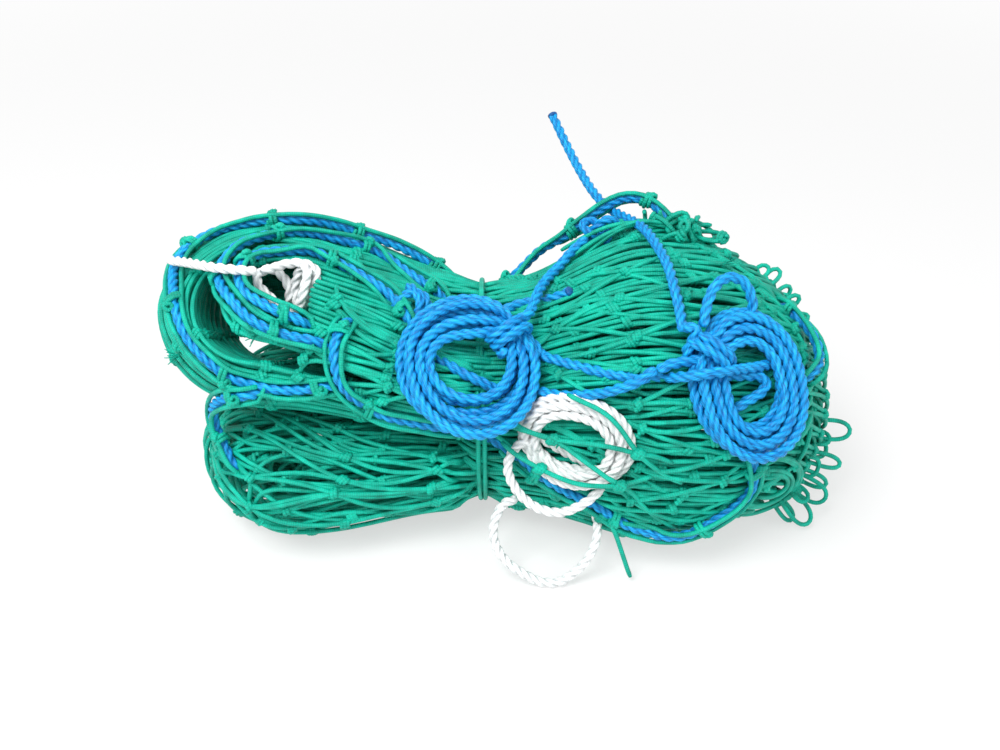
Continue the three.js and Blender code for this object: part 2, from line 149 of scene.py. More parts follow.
def rope_material(name, deep, plain, bright, specular=0.35, sheen=0.05):
    """Drawn plastic yarn: fine fibres along the rope, and painted shade that darkens the grooves between the
    strands.
    """
    material, shader, start = new_material(name, 0.42, specular)
    shader.inputs["Sheen Weight"].default_value = sheen
    shader.inputs["Sheen Roughness"].default_value = 0.4
    along = start.node("ShaderNodeUVMap", {"uv_map": "Lay"})
    length = start.node("ShaderNodeSeparateXYZ", Vector=along)
    turn = Value(length.tree, length.socket.node.outputs[1])
    stretched = start.node(
        "ShaderNodeCombineXYZ",
        X=length * 24.0,
        Y=(turn * (2 * math.pi)).sine() * 1.1,
        Z=(turn * (2 * math.pi) + math.pi / 2).sine() * 1.1,
    )
    fibres = start.node("ShaderNodeTexNoise", Vector=stretched, Scale=4.5, Detail=3.0, Roughness=0.65)
    # The mask of the painted groove shade: how deep each point lies between the strands.
    groove_shade = start.node("ShaderNodeAttribute", {"attribute_name": "groove_shade"}, output=2)
    blotch = start.node("ShaderNodeTexNoise", Vector=stretched, Scale=0.35, Detail=1.0)
    tone = ((fibres - 0.5) * 3.4 + 0.42 + (blotch - 0.5) * 0.8).clamped()
    body = tone.colours(plain, bright)
    # Painted shade in the grooves, and darker fibres at random, both towards the deep colour.
    shade = (groove_shade * 0.85 + (0.44 - fibres) * 1.6).clamped()
    plug(shade.colours(body, deep), shader, "Base Color")
    plug((0.34 + fibres * 0.22).clamped(), shader, "Roughness")
    bumped = start.node("ShaderNodeBump", Strength=0.6, Distance=0.0005, Height=fibres)
    plug(bumped, shader, "Normal")
    return material


# The first colour of the blue and the white yarn is their painted groove shade, which also darkens their
# darkest fibres.
blue_yarn = rope_material(
    "blue yarn", (0.0, 0.07, 0.25), (0.0, 0.20, 0.58), (0.01, 0.48, 0.92), specular=0.27
)
white_yarn = rope_material("white yarn", (0.42, 0.46, 0.47), (0.80, 0.82, 0.82), (0.96, 0.97, 0.97))


def smooth_line(points, step):
    """Centripetal Catmull-Rom through points, resampled to even steps."""
    p = np.array(points, float)
    p = np.vstack([2 * p[0] - p[1], p, 2 * p[-1] - p[-2]])
    out = []
    for i in range(1, len(p) - 2):
        p0, p1, p2, p3 = p[i - 1 : i + 3]
        t0 = 0.0
        t1 = t0 + max(np.linalg.norm(p1 - p0), 1e-6) ** 0.5
        t2 = t1 + max(np.linalg.norm(p2 - p1), 1e-6) ** 0.5
        t3 = t2 + max(np.linalg.norm(p3 - p2), 1e-6) ** 0.5
        t = np.linspace(t1, t2, 24, endpoint=False)[:, None]
        a1 = (t1 - t) / (t1 - t0) * p0 + (t - t0) / (t1 - t0) * p1
        a2 = (t2 - t) / (t2 - t1) * p1 + (t - t1) / (t2 - t1) * p2
        a3 = (t3 - t) / (t3 - t2) * p2 + (t - t2) / (t3 - t2) * p3
        b1 = (t2 - t) / (t2 - t0) * a1 + (t - t0) / (t2 - t0) * a2
        b2 = (t3 - t) / (t3 - t1) * a2 + (t - t1) / (t3 - t1) * a3
        out.append((t2 - t) / (t2 - t1) * b1 + (t - t1) / (t2 - t1) * b2)
    line = np.vstack([*out, p[-2][None]])
    return resampled(line, max(4, int(round(line_length(line) / step)) + 1))


def line_length(line):
    return float(np.linalg.norm(np.diff(line, axis=0), axis=1).sum())


def resampled(line, count):
    gone = np.concatenate([[0], np.cumsum(np.linalg.norm(np.diff(line, axis=0), axis=1))])
    at = np.linspace(0, gone[-1], count)
    return np.stack([np.interp(at, gone, line[:, k]) for k in range(3)], axis=1)


def carried_frames(lines):
    """Tangents, normals and binormals along many lines of equally many points, turned as little as can be."""
    tangents = np.gradient(lines, axis=1)
    tangents /= np.maximum(np.linalg.norm(tangents, axis=2, keepdims=True), 1e-9)
    first = tangents[:, 0]
    least = np.argmin(np.abs(first), axis=1)
    helper = np.eye(3)[least]
    normal = np.cross(first, helper)
    normal /= np.linalg.norm(normal, axis=1, keepdims=True)
    normals = np.empty_like(lines)
    normals[:, 0] = normal
    for i in range(1, lines.shape[1]):
        t = tangents[:, i]
        normal = normal - t * (normal * t).sum(axis=1, keepdims=True)
        normal /= np.maximum(np.linalg.norm(normal, axis=1, keepdims=True), 1e-9)
        normals[:, i] = normal
    return tangents, normals, np.cross(tangents, normals)


def new_piece(name, vertices, quads, maps, groove_shades, material, body):
    """A mesh of quads. maps holds each UV map's corner values."""
    mesh = bpy.data.meshes.new(name)
    mesh.vertices.add(len(vertices))
    mesh.vertices.foreach_set("co", (vertices * MM).astype(np.float32).ravel())
    mesh.loops.add(quads.size)
    mesh.loops.foreach_set("vertex_index", quads.astype(np.int32).ravel())
    mesh.polygons.add(len(quads))
    mesh.polygons.foreach_set("loop_start", (np.arange(len(quads)) * 4).astype(np.int32))
    mesh.polygons.foreach_set("use_smooth", np.ones(len(quads), bool))
    mesh.update(calc_edges=True)
    for map_name, corners in maps.items():
        layer = mesh.uv_layers.new(name=map_name)
        layer.data.foreach_set("uv", corners.astype(np.float32).ravel())
    # The mask of the rope's painted groove shade.
    attribute = mesh.attributes.new("groove_shade", "FLOAT", "POINT")
    attribute.data.foreach_set("value", groove_shades.astype(np.float32))
    mesh.validate()
    mesh.materials.append(material)
    piece = bpy.data.objects.new(name, mesh)
    bpy.context.scene.collection.objects.link(piece)
    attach(piece, body)
    return piece


def strips(lengths, widths):
    """Places for long thin strips, side by side in rows of one sheet, as fractions of the sheet."""
    lengths = np.asarray(lengths, float)
    side = max(math.sqrt(float((lengths * widths).sum()) * 1.15), float(lengths.max()) * 1.02)
    x, y = 0.0, 0.0
    row = widths[0]
    places = []
    for length, width in zip(lengths, widths):
        if x + length > side:
            x = 0.0
            y += row * 1.06
            row = width
        places.append((x, y))
        row = max(row, width)
        x += length * 1.01
    scale = 1 / max(side, y + row * 1.1)
    return np.array(places) * scale, scale


def tubes(name, sets, material, body):
    """One mesh of many tubes. sets holds (lines, outline, twist): lines is tubes by points by 3, outline
    gives the radius at each even angle, and twist is the length in which the outline turns once, or 0."""
    vertices, quads, caps, lay, bake, groove_shades = [], [], [], [], [], []
    base = 0
    all_lengths = []
    all_widths = []
    for lines, outline, _ in sets:
        steps = np.linalg.norm(np.diff(lines, axis=1), axis=2)
        all_lengths.append(steps.sum(axis=1))
        all_widths.append(np.full(len(lines), 2 * math.pi * np.max(outline)))
    places, scale = strips(np.concatenate(all_lengths), np.concatenate(all_widths))
    taken = 0
    for lines, outline, twist in sets:
        count, points, _ = lines.shape
        sides = len(outline)
        _, normals, binormals = carried_frames(lines)
        gone = np.concatenate(
            [np.zeros((count, 1)), np.cumsum(np.linalg.norm(np.diff(lines, axis=1), axis=2), axis=1)], axis=1
        )
        around = np.arange(sides) / sides * 2 * math.pi
        twisted = gone[:, :, None] / twist * 2 * math.pi if twist else np.zeros((count, points, 1))
        angle = around[None, None, :] + twisted
        radius = np.asarray(outline)[None, None, :] * np.ones((count, points, 1))
        radius[:, [0, -1]] *= ROPE_END
        ring = (
            lines[:, :, None, :]
            + (radius * np.cos(angle))[..., None] * normals[:, :, None, :]
            + (radius * np.sin(angle))[..., None] * binormals[:, :, None, :]
        )
        vertices.append(ring.reshape(-1, 3))
        # How deep each point lies between the strands: the mask of the painted groove shade. A round outline
        # gives none.
        depth = 1 - radius / np.max(outline)
        depth[:, [0, -1]] = 0
        groove_shades.append(np.clip(depth * 2.1, 0, 1).ravel())
        tube_base = base + np.arange(count)[:, None, None] * points * sides
        i = np.arange(points - 1)[None, :, None] * sides
        k = np.arange(sides)[None, None, :]
        k2 = (k + 1) % sides
        a = tube_base + i + k
        b = tube_base + i + k2
        quads.append(np.stack([a, b, b + sides, a + sides], axis=-1).reshape(-1, 4))
        low = tube_base[:, 0, 0][:, None] + np.arange(sides)[None, ::-1]
        high = tube_base[:, 0, 0][:, None] + (points - 1) * sides + np.arange(sides)[None, :]
        caps.append((low, high, sides))
        s0, s1 = gone[:, :-1, None], gone[:, 1:, None]
        turn0 = angle[:, :-1, :] / (2 * math.pi)
        turn1 = angle[:, 1:, :] / (2 * math.pi)
        one = 1 / sides
        shape = (count, points - 1, sides)
        corners = [
            (np.broadcast_to(s0, shape), turn0),
            (np.broadcast_to(s0, shape), turn0 + one),
            (np.broadcast_to(s1, shape), turn1 + one),
            (np.broadcast_to(s1, shape), turn1),
        ]
        lay.append(np.stack([np.stack([u * MM, v], -1) for u, v in corners], axis=-2).reshape(-1, 2))
        spot = places[taken : taken + count]
        taken += count
        wide = 2 * math.pi * np.max(outline)
        v0 = np.broadcast_to(k / sides * wide, shape)
        v1 = np.broadcast_to((k + 1) / sides * wide, shape)
        u0 = np.broadcast_to(s0, shape)
        u1 = np.broadcast_to(s1, shape)
        baked = np.stack(
            [np.stack([u, v], -1) for u, v in ((u0, v0), (u0, v1), (u1, v1), (u1, v0))], axis=-2
        )
        bake.append((baked * scale + spot[:, None, None, None, :]).reshape(-1, 2))
        base += count * points * sides
    # Every cap is a fan of quads across its ring, and all caps share one small corner of the bake's sheet.
    cap_rows = []
    for low, high, sides in caps:
        for rows in (low, high):
            for m in range(1, sides - 2, 2):
                cap_rows.append(rows[:, [0, m, m + 1, m + 2]])
    cap_quads = np.vstack(cap_rows)
    quads = np.vstack([*quads, cap_quads])
    cap_lay = np.zeros((cap_quads.size, 2))
    cap_square = [[0, 0], [0.001, 0], [0.001, 0.001], [0, 0.001]]
    cap_bake = np.full((cap_quads.size, 2), 0.9985) + np.tile(cap_square, (len(cap_quads), 1))
    maps = {"Lay": np.vstack([*lay, cap_lay]), "OFBake": np.vstack([*bake, cap_bake])}
    return new_piece(name, np.vstack(vertices), quads, maps, np.concatenate(groove_shades), material, body)


def laid_outline(diameter):
    """The outline of three round strands laid together, six points to each strand."""
    radius = diameter / 2
    centre = radius * 0.45
    strand = radius * 0.57
    outline = []
    for _ in range(STRANDS):
        for degrees in (-60, -44, -22, 0, 22, 44):
            phi = math.radians(degrees)
            outline.append(centre * math.cos(phi) + math.sqrt(strand**2 - (centre * math.sin(phi)) ** 2))
    return outline


def rope_piece(name, route, rope, body="root"):
    """Laid rope along a route. rope holds its diameter, material and slot, and the slot is not used. Gives
    the piece and its line.
    """
    diameter, material, slot = rope
    line = smooth_line(route, ROPE_STEP)
    piece = tubes(name, [(line[None], laid_outline(diameter), LAY * diameter)], material, body)
    return piece, line


def free_rope(name, route, rope, nodes, body="root"):
    """A free rope that stands for its CAD nodes, if it has any."""
    piece, line = rope_piece(name, route, rope, body)
    if nodes:
        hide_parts(*nodes)
    rope[0] * MM


BLUE = (BLUE_ROPE, blue_yarn, "blue_rope")
free_rope(
    "left_lead_rope",
    [
        (16, -25, 134), (19, -15, 136), (21, -8, 137), (26, 5, 137), (33, 17, 138), (41, 28, 142),
        (49, 36, 145),
    ],
    BLUE, ["left_lead"],
)
free_rope(
    "left_tail_rope", [(2, -10, 126), (11, -5, 127), (20, -4, 128), (30, -8, 133), (38, -10, 138)],
    BLUE, ["left_tail"],
)
free_rope(
    "link_rope_upper",
    [
        (22, -41, 117), (31, -47, 118), (41, -54, 119), (51, -60, 120), (61, -65, 121), (70, -68, 122),
        (84, -68, 123),
    ],
    BLUE, ["link_rope_high"],
)
free_rope(
    "link_rope_lower",
    [
        (20, -56, 105), (31, -61, 106), (41, -65, 109), (51, -69, 113), (60, -73, 119), (69, -75, 125),
        (77, -72, 130),
    ],
    BLUE, ["link_rope_low"],
)
free_rope(
    "right_tail_rope",
    [
        (91, -58, 144), (91, -46, 147), (90, -33, 151), (88, -14, 156), (84, 6, 158), (80, 25, 157),
        (76, 40, 154), (70, 54, 151), (64, 68, 149), (57, 85, 150), (50, 103, 155), (42, 123, 164),
        (33, 143, 177),
    ],
    BLUE, ["right_tail"],
)

# The free ends are melted to dark, slightly swollen drops.
melted_yarn = rope_material("melted yarn", (0.0, 0.02, 0.09), (0.0, 0.05, 0.20), (0.0, 0.12, 0.38))
MELT_HALF_WIDTH = BLUE_ROPE * 0.53
for name, end, before in (
    ("left_tail_melt", (38, -10, 138), (36.6, -9.6, 136.4)),
    ("right_tail_melt", (33, 143, 177), (33.7, 141.6, 175.8)),
):
    end, before = np.array(end, float), np.array(before, float)
    drop = np.linspace(before, end + (end - before) * 0.3, 5)
    tubes(name, [(drop[None], [MELT_HALF_WIDTH] * 12, 0)], melted_yarn, "root")

# ---------------------------------------------------------------- left hank
# Six turns of the blue tie rope, laid flat in two layers. The rope's own end binds them with two round turns
# at the right, where the lead and the link ropes leave, so the hank lifts on that side like a flap.


def smooth(t):
    t = np.clip(t, 0, 1)
    return t * t * (3 - 2 * t)


class Hank:
    """A hank's own plane: x to its right, y up its slope, z out of the bundle."""

    def __init__(self, centre, normal):
        self.centre = np.array(centre, float)
        out = np.array(normal, float)
        self.out = out / np.linalg.norm(out)
        up = np.array([0, 0, 1.0]) - self.out * self.out[2]
        self.up = up / np.linalg.norm(up)
        self.across = np.cross(self.up, self.out)

    def at(self, points):
        p = np.atleast_2d(np.array(points, float))
        return self.centre + p[:, :1] * self.across + p[:, 1:2] * self.up + p[:, 2:3] * self.out

    def local(self, points):
        d = points - self.centre
        return np.stack([d @ self.across, d @ self.up, d @ self.out], axis=-1)

    def coil(self, turns, wrap_at, pinch, before=()):
        """Turns of rope in the hank's plane, drawn together where they are bound. Each turn holds how far it
        is from the middle at its top, left, bottom and right, and its height."""
        out = [tuple(p) for p in before]
        last = len(turns) - 1
        middle = np.mean([turn[:4] for turn in turns])
        for tau in np.linspace(0.03, last + 0.97, len(turns) * 40):
            i = min(int(tau), last)
            part = tau - i
            other = min(i + 1, last) if part > 0.5 else max(i - 1, 0)
            share = 0.5 * float(smooth(1 - min(part, 1 - part) / 0.09))
            angle = wrap_at + 360 * tau
            quarter = (angle / 90 - 1) % 4
            k = int(quarter)
            ease = 0.5 - 0.5 * math.cos(math.pi * (quarter - k))
            reach = [turn[k] + (turn[(k + 1) % 4] - turn[k]) * ease for turn in (turns[i], turns[other])]
            r = reach[0] + (reach[1] - reach[0]) * share
            z = turns[i][4] + (turns[other][4] - turns[i][4]) * share
            away = (part + 0.5) % 1 - 0.5
            tight = math.exp(-((away * 360 / 19) ** 2))
            r += (middle - r) * pinch * tight
            z *= 1 - 0.3 * tight
            a = math.radians(angle)
            out.append((r * math.cos(a), r * math.sin(a), z))
        return out

    def binding(self, radius, wrap_at, half_wide, half_thick, lift, length, turns, start):
        """Round turns about the bundle of ropes at one place of the coil."""
        a = math.radians(wrap_at)
        radial = np.array([math.cos(a), math.sin(a), 0])
        tangent = np.array([-math.sin(a), math.cos(a), 0])
        out = []
        for tau in np.linspace(0, turns, int(turns * 16)):
            turn = 2 * math.pi * tau + start
            out.append(
                radial * (radius + half_wide * math.cos(turn))
                + tangent * length * (tau / turns - 0.5)
                + np.array([0, 0, lift + half_thick * math.sin(turn)])
            )
        return [tuple(p) for p in out]


def hank_rope(name, hank, body, points, nodes=()):
    """Blue rope that lifts with a hank, from points in the hank's own plane."""
    free_rope(name, hank.at(points), BLUE, nodes, body=body)


left_hank = Hank((-14.5, -50.2, 119.7), (0.15, -0.64, 0.755))
left_turns = left_hank.coil(
    [
        (35.0, 36.8, 33.0, 34.0, -3.4), (30.5, 32.8, 39.2, 32.5, 2.5), (28.2, 31.2, 26.8, 28.4, -3.5),
        (21.8, 27.4, 32.0, 26.4, 2.7), (21.4, 25.7, 20.4, 22.8, -3.3), (14.2, 22.4, 20.6, 20.4, 2.2),
    ],
    wrap_at=28, pinch=0.5, before=[(38, -1.5, -2.4), (36, 4, -4)],
)
hank_rope("left_hank_turns", left_hank, "left_hank", left_turns, ["left_hank_coil"])
left_binding = left_hank.binding(
    radius=25.0, wrap_at=28, half_wide=10.0, half_thick=8.2, lift=0.6, length=12, turns=2.4, start=2.6
)
left_binding += [(32, 20, 3), (36, 23, -0.7)]
hank_rope("left_hank_binding", left_hank, "left_hank", left_binding, ["left_hank_wrap"])
hank_rope(
    "left_hank_short_end", left_hank, "left_hank",
    [
        (-25, 12, -8.8), (-18, 7, -8.8), (-11, 1.5, -7.2), (-4, -4.6, -6.4), (3.8, -9.6, -7), (11, -14, -8.8),
        (18, -18, -9),
    ],
)

# ---------------------------------------------------------------- right hank
# The other end of the tie rope: six longer turns bound at the upper left, a small ear loop above them, and
# the rope from the left hank crossing over the left turns and tucked under the right ones.
right_hank = Hank((126, -66.7, 118), (0.33, -0.74, 0.59))
right_turns = right_hank.coil(
    [
        (36.0, 30.0, 35.0, 32.0, -3.4), (33.5, 27.5, 38.8, 28.6, 2.5), (30.0, 24.2, 29.0, 26.0, -3.5),
        (27.5, 21.5, 32.0, 22.6, 2.7), (24.0, 18.4, 23.0, 20.0, -3.3), (21.0, 15.6, 25.5, 16.8, 2.3),
    ],
    wrap_at=132, pinch=0.5,
)
hank_rope("right_hank_turns", right_hank, "right_hank", right_turns, ["right_hank_coil"])
right_binding = right_hank.binding(
    radius=26.5, wrap_at=133, half_wide=11.2, half_thick=8.4, lift=0.6, length=12, turns=2.4, start=3.3
)
right_binding = [(-46, 17.5, -5.2), (-40, 19, -3), *right_binding, (-24, 33, 3), (-28.4, 35, -1)]
hank_rope("right_hank_binding", right_hank, "right_hank", right_binding, ["right_hank_wrap"])
hank_rope(
    "right_hank_loop", right_hank, "right_hank",
    [
        (-19, 33, 1), (-17, 38, 1.5), (-14, 44, 2), (-8, 51, 2.5), (1, 54, 2.5), (9, 50, 2), (12, 43, 1),
        (12.5, 36, -1), (11, 30, -4),
    ],
    ["right_hank_ear"],
)
hank_rope(
    "right_hank_crossing", right_hank, "right_hank",
    [
        (-40, 12.8, -9.5), (-38.5, 12.4, -4), (-35, 11.6, 3), (-29, 10.8, 7.6), (-22, 10, 9), (-15, 9.2, 8.4),
        (-8, 8.4, 5.4), (0, 7.4, 2.6), (7, 6.6, 1), (13, 6.2, -2), (18, 5.6, -6), (24, 5, -9),
    ],
)
hank_rope(
    "right_hank_inner_loop", right_hank, "right_hank",
    [
        (-20, 8, -5.5), (-13, 7.4, -4), (-6, 5.2, -2.5), (2, 3.2, -2), (8.5, 1.0, -2), (10.5, -3.4, -2.2),
        (6, -7, -2.6), (-2, -9, -3.2), (-10, -12, -5.2),
    ],
)

# ---------------------------------------------------------------- white ropes
# A second tie rope, white and a little thinner: four turns under the front twines, with its cut end between
# them, and its long end in one loop over the border rope and one ring down to the floor. A lead runs from the
# far left tip into the open fold.
WHITE_ROPE = 5.4
WHITE = (WHITE_ROPE, white_yarn, "white_rope")
white_coil = Hank((38.4, -72.3, 84.6), (-0.31, -0.92, 0.2))
white_turns = white_coil.coil(
    [
        (23.5, 29.0, 22.5, 29.8, -1.8), (20.6, 26.0, 24.5, 25.8, 2.0), (17.8, 23.0, 16.8, 23.6, -1.6),
        (15.5, 20.5, 18.8, 20.0, 2.2),
    ],
    wrap_at=215, pinch=0.2,
)
free_rope(
    "white_coil_turns", white_coil.at(white_turns), WHITE, ["white_coil"]
)
free_rope(
    "white_cut_end", [(12, -62, 85), (22, -65, 80.5), (37, -69, 73), (53, -73, 65), (61, -75, 60)],
    WHITE, ["white_end"],
)
free_rope(
    "white_long_end",
    [
        (54, -80, 60), (45, -83, 52), (32, -84, 46), (19, -81, 47), (9, -77, 55), (4, -72, 66),
        (7, -68, 75), (14, -67, 80), (22, -69, 74), (29, -71, 68), (36, -71, 62), (43, -69, 56),
        (48, -68, 49), (50, -67, 42), (52, -71, 35), (53, -77, 29), (52, -82, 23), (48, -87, 16),
        (41, -90, 8), (32, -93, 3.4), (22, -93, 3.4), (11, -91, 9), (2, -87, 15), (-3, -82, 23),
        (-3, -77, 33), (2, -72, 41), (9, -72, 45),
    ],
    WHITE, ["white_tail"],
)
free_rope(
    "white_lead_rope",
    [
        (-177, -3, 153), (-168, -10, 156), (-158, -18, 159), (-147, -25, 161), (-135, -27.5, 161),
        (-125, -26, 159),
    ],
    WHITE, ["white_lead"],
)

# ---------------------------------------------------------------- border ropes
# The same blue rope runs along the net's edge and is lashed to it with twine. Some of it shows on the folds:
# round the opening of the high left fold, down its front, along the right fold's foot and up over its back.


def tucked(route):
    """The route with both ends led on and down under the net."""
    points = [np.array(p, float) for p in route]
    for end, before in ((0, 1), (-1, -2)):
        along = points[end] - points[before]
        along /= np.linalg.norm(along)
        inward = np.array([points[end][0] * 0.8, 4, 70]) - points[end]
        inward /= np.linalg.norm(inward)
        tail = [points[end] + along * 4 + inward * 4, points[end] + along * 6 + inward * 13]
        points = tail[::-1] + points if end == 0 else points + tail
    return points


def held_rope(name, route):
    """Rope that the net holds, which stands for the CAD node of its name."""
    piece, line = rope_piece(name, tucked(route), BLUE)
    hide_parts(name)
    return line


BORDER_ROUTES = {
    "border_rope_high": [
        (-88, -60, 111), (-103, -59, 108), (-114, -59, 108), (-129, -58, 111), (-139, -57, 114),
        (-150, -52, 121), (-159, -46, 128), (-165, -39, 135), (-169, -30, 141), (-172, -19, 144),
        (-175, -6, 146), (-176, 8, 147), (-172, 17, 150), (-163, 25, 153), (-152, 31, 155),
        (-135, 31, 159), (-119, 31, 160), (-101, 36, 156), (-81, 45, 144), (-58, 47, 134), (-36, 46, 120),
        (-21, 42, 110), (-10, 41, 106), (1, 42, 110), (12, 47, 119), (24, 51, 130), (38, 53, 138),
        (46, 55, 144), (58, 59, 152), (70, 61, 158), (81, 59, 159), (90, 54, 156), (98, 47, 149),
    ],
    "border_rope_low": [
        (-80, -42, 137), (-84, -52, 132), (-84, -58, 124), (-82, -61, 115), (-77, -61, 106),
        (-70, -61, 100), (-61, -62, 94), (-45, -62, 89), (-30, -60, 84), (-18, -57, 80), (-10, -56, 77),
        (-2, -58, 73), (12, -63, 65), (22, -67, 57), (31, -70, 52), (39, -72, 48), (50, -75, 44),
        (57, -76, 39), (69, -79, 32), (80, -81, 29), (88, -82, 27), (98, -83, 28), (108, -82, 32),
        (118, -79, 37), (128, -75, 43), (134, -73, 52), (134, -74, 64), (132, -75, 73),
    ],
    "fold_rope_outer": [
        (-35, 8, 127), (-46, 17, 130), (-53, 22, 132), (-68, 32, 138), (-90, 26, 150), (-111, 20, 158),
        (-130, 12, 159), (-140, 5, 158), (-145, -4, 156), (-147, -16, 154), (-144, -28, 152),
        (-136, -39, 149), (-128, -47, 145), (-119, -51, 141), (-106, -53, 137), (-95, -54, 135),
    ],
    "fold_rope_inner": [
        (-49, -24, 130), (-55, -14, 133), (-62, -8, 137), (-73, -4, 143), (-86, 0, 149), (-101, 3, 155),
        (-114, -2, 158), (-127, -5, 158), (-134, -12, 157), (-135, -24, 155), (-131, -34, 152),
        (-123, -40, 150), (-114, -44, 147), (-105, -46, 144),
    ],
    "border_rope_end": [
        (-131, -64, 108), (-142, -59, 103), (-150, -52, 94), (-154, -47, 85), (-154, -48, 76),
        (-149, -54, 66), (-144, -60, 58),
    ],
    "border_rope_right": [
        (156, 0, 122), (163, -10, 121), (168, -16, 117), (172, -22, 111), (172, -30, 106), (167, -38, 104),
    ],
}
border_lines = {name: held_rope(name, route) for name, route in BORDER_ROUTES.items()}

# ---------------------------------------------------------------- green twine
# Braided polyethylene twine, nearly 3 mm thick, is tied into diamond meshes, and each fold of the bundle is
# many layers of them. One side of a mesh is 50 mm long.
TWINE = 2.6
MESH_SIDE = 50.0
TWINE_STEP = 5.0
KNOT_TWINE = TWINE * 0.95
BRAID_PITCH = 2600.0
rng = np.random.default_rng(7)


def twine_material():
    """Braided twine: two crossing sets of fine yarns, dull green that varies at random, with painted
    highlights on the braid's crowns and painted shade in its hollows.
    """
    material, shader, start = new_material("green twine", 0.46, 0.3)
    along = start.node("ShaderNodeUVMap", {"uv_map": "Lay"})
    length = start.node("ShaderNodeSeparateXYZ", Vector=along)
    turn = Value(length.tree, length.socket.node.outputs[1])
    round_it = turn * (2 * math.pi)
    left = (round_it * 4.0 + length * BRAID_PITCH).sine()
    right = (round_it * 4.0 - length * BRAID_PITCH).sine()
    braid = left * right
    where = start.node("ShaderNodeNewGeometry")
    strand_tone = start.node("ShaderNodeTexNoise", Vector=where, Scale=90.0, Detail=2.0, Roughness=0.6)
    fibre_space = start.node(
        "ShaderNodeCombineXYZ", X=length * 260.0, Y=round_it.sine() * 4.0,
        Z=(round_it + math.pi / 2).sine() * 4.0,
    )
    fibres = start.node("ShaderNodeTexNoise", Vector=fibre_space, Scale=3.0, Detail=3.0, Roughness=0.7)
    # Lighter with the random strand tone and fibres, and a painted highlight on the braid's crowns.
    tone = (strand_tone * 1.5 - 0.35 + (fibres - 0.5) * 1.1 + braid * 0.24).clamped()
    body = tone.colours((0.0, 0.25, 0.175), (0.0, 0.66, 0.47))
    # Darker with the random strand tone and fibres, and painted shade in the braid's hollows.
    shade = ((0.42 - fibres) * 1.3 + (0.35 - strand_tone) * 1.2 - braid * 0.12).clamped()
    plug(shade.colours(body, (0.0, 0.09, 0.065)), shader, "Base Color")
    plug((0.38 + fibres * 0.25).clamped(), shader, "Roughness")
    height = braid * 0.5 + fibres * 0.8
    bumped = start.node("ShaderNodeBump", Strength=0.7, Distance=0.0004, Height=height)
    plug(bumped, shader, "Normal")
    return material


green_twine = twine_material()


def round_outline(diameter, sides):
    return [diameter / 2] * sides


def twine_sets(lines, diameter=TWINE, sides=8, step=TWINE_STEP):
    """Lines of different lengths, put together in sets that have equally many points."""
    by_count = {}
    for line in lines:
        count = max(6, int(math.ceil(line_length(line[:, :3]) / step / 6) * 6))
        by_count.setdefault(count, []).append(resampled(line[:, :3], count))
    return [(np.array(group), round_outline(diameter, sides), 0) for group in by_count.values()]


def twine_piece(name, lines, **how):
    """Strands of green twine as one mesh."""
    return tubes(name, twine_sets(lines, **how), green_twine, "root")


def knot_piece(name, knots, diameter=KNOT_TWINE):
    """Knots of green twine as one mesh."""
    tubes(name, [(np.array(knots), round_outline(diameter, 6), 0)], green_twine, "root")


def knot(centre, along, across, reach=(3.1, 2.4), length=5.6, turns=2.4, start=0.0):
    """The twine of one knot: turns round the two strands that it ties."""
    along = along / np.linalg.norm(along)
    across = across - along * (across @ along)
    across = across / max(np.linalg.norm(across), 1e-6)
    out = np.cross(along, across)
    tau = np.linspace(0, 1, 22)[:, None]
    turn = 2 * math.pi * turns * tau + start
    bulge = 0.78 + 0.22 * np.sin(math.pi * tau)
    slant = 0.9 * np.cos(turn)
    line = (
        centre + along * (length * (tau - 0.5) + slant) + across * reach[0] * bulge * np.cos(turn)
        + out * reach[1] * bulge * np.sin(turn)
    )
    line[:, 2] = np.maximum(line[:, 2], TWINE / 2)
    return line


def zigzag(gone):
    """How far a strand is to one side, from -1 to 1, after so many sides of a mesh, with rounded corners."""
    return 2 / math.pi * np.arcsin(0.97 * np.cos(math.pi * gone)) / 0.84


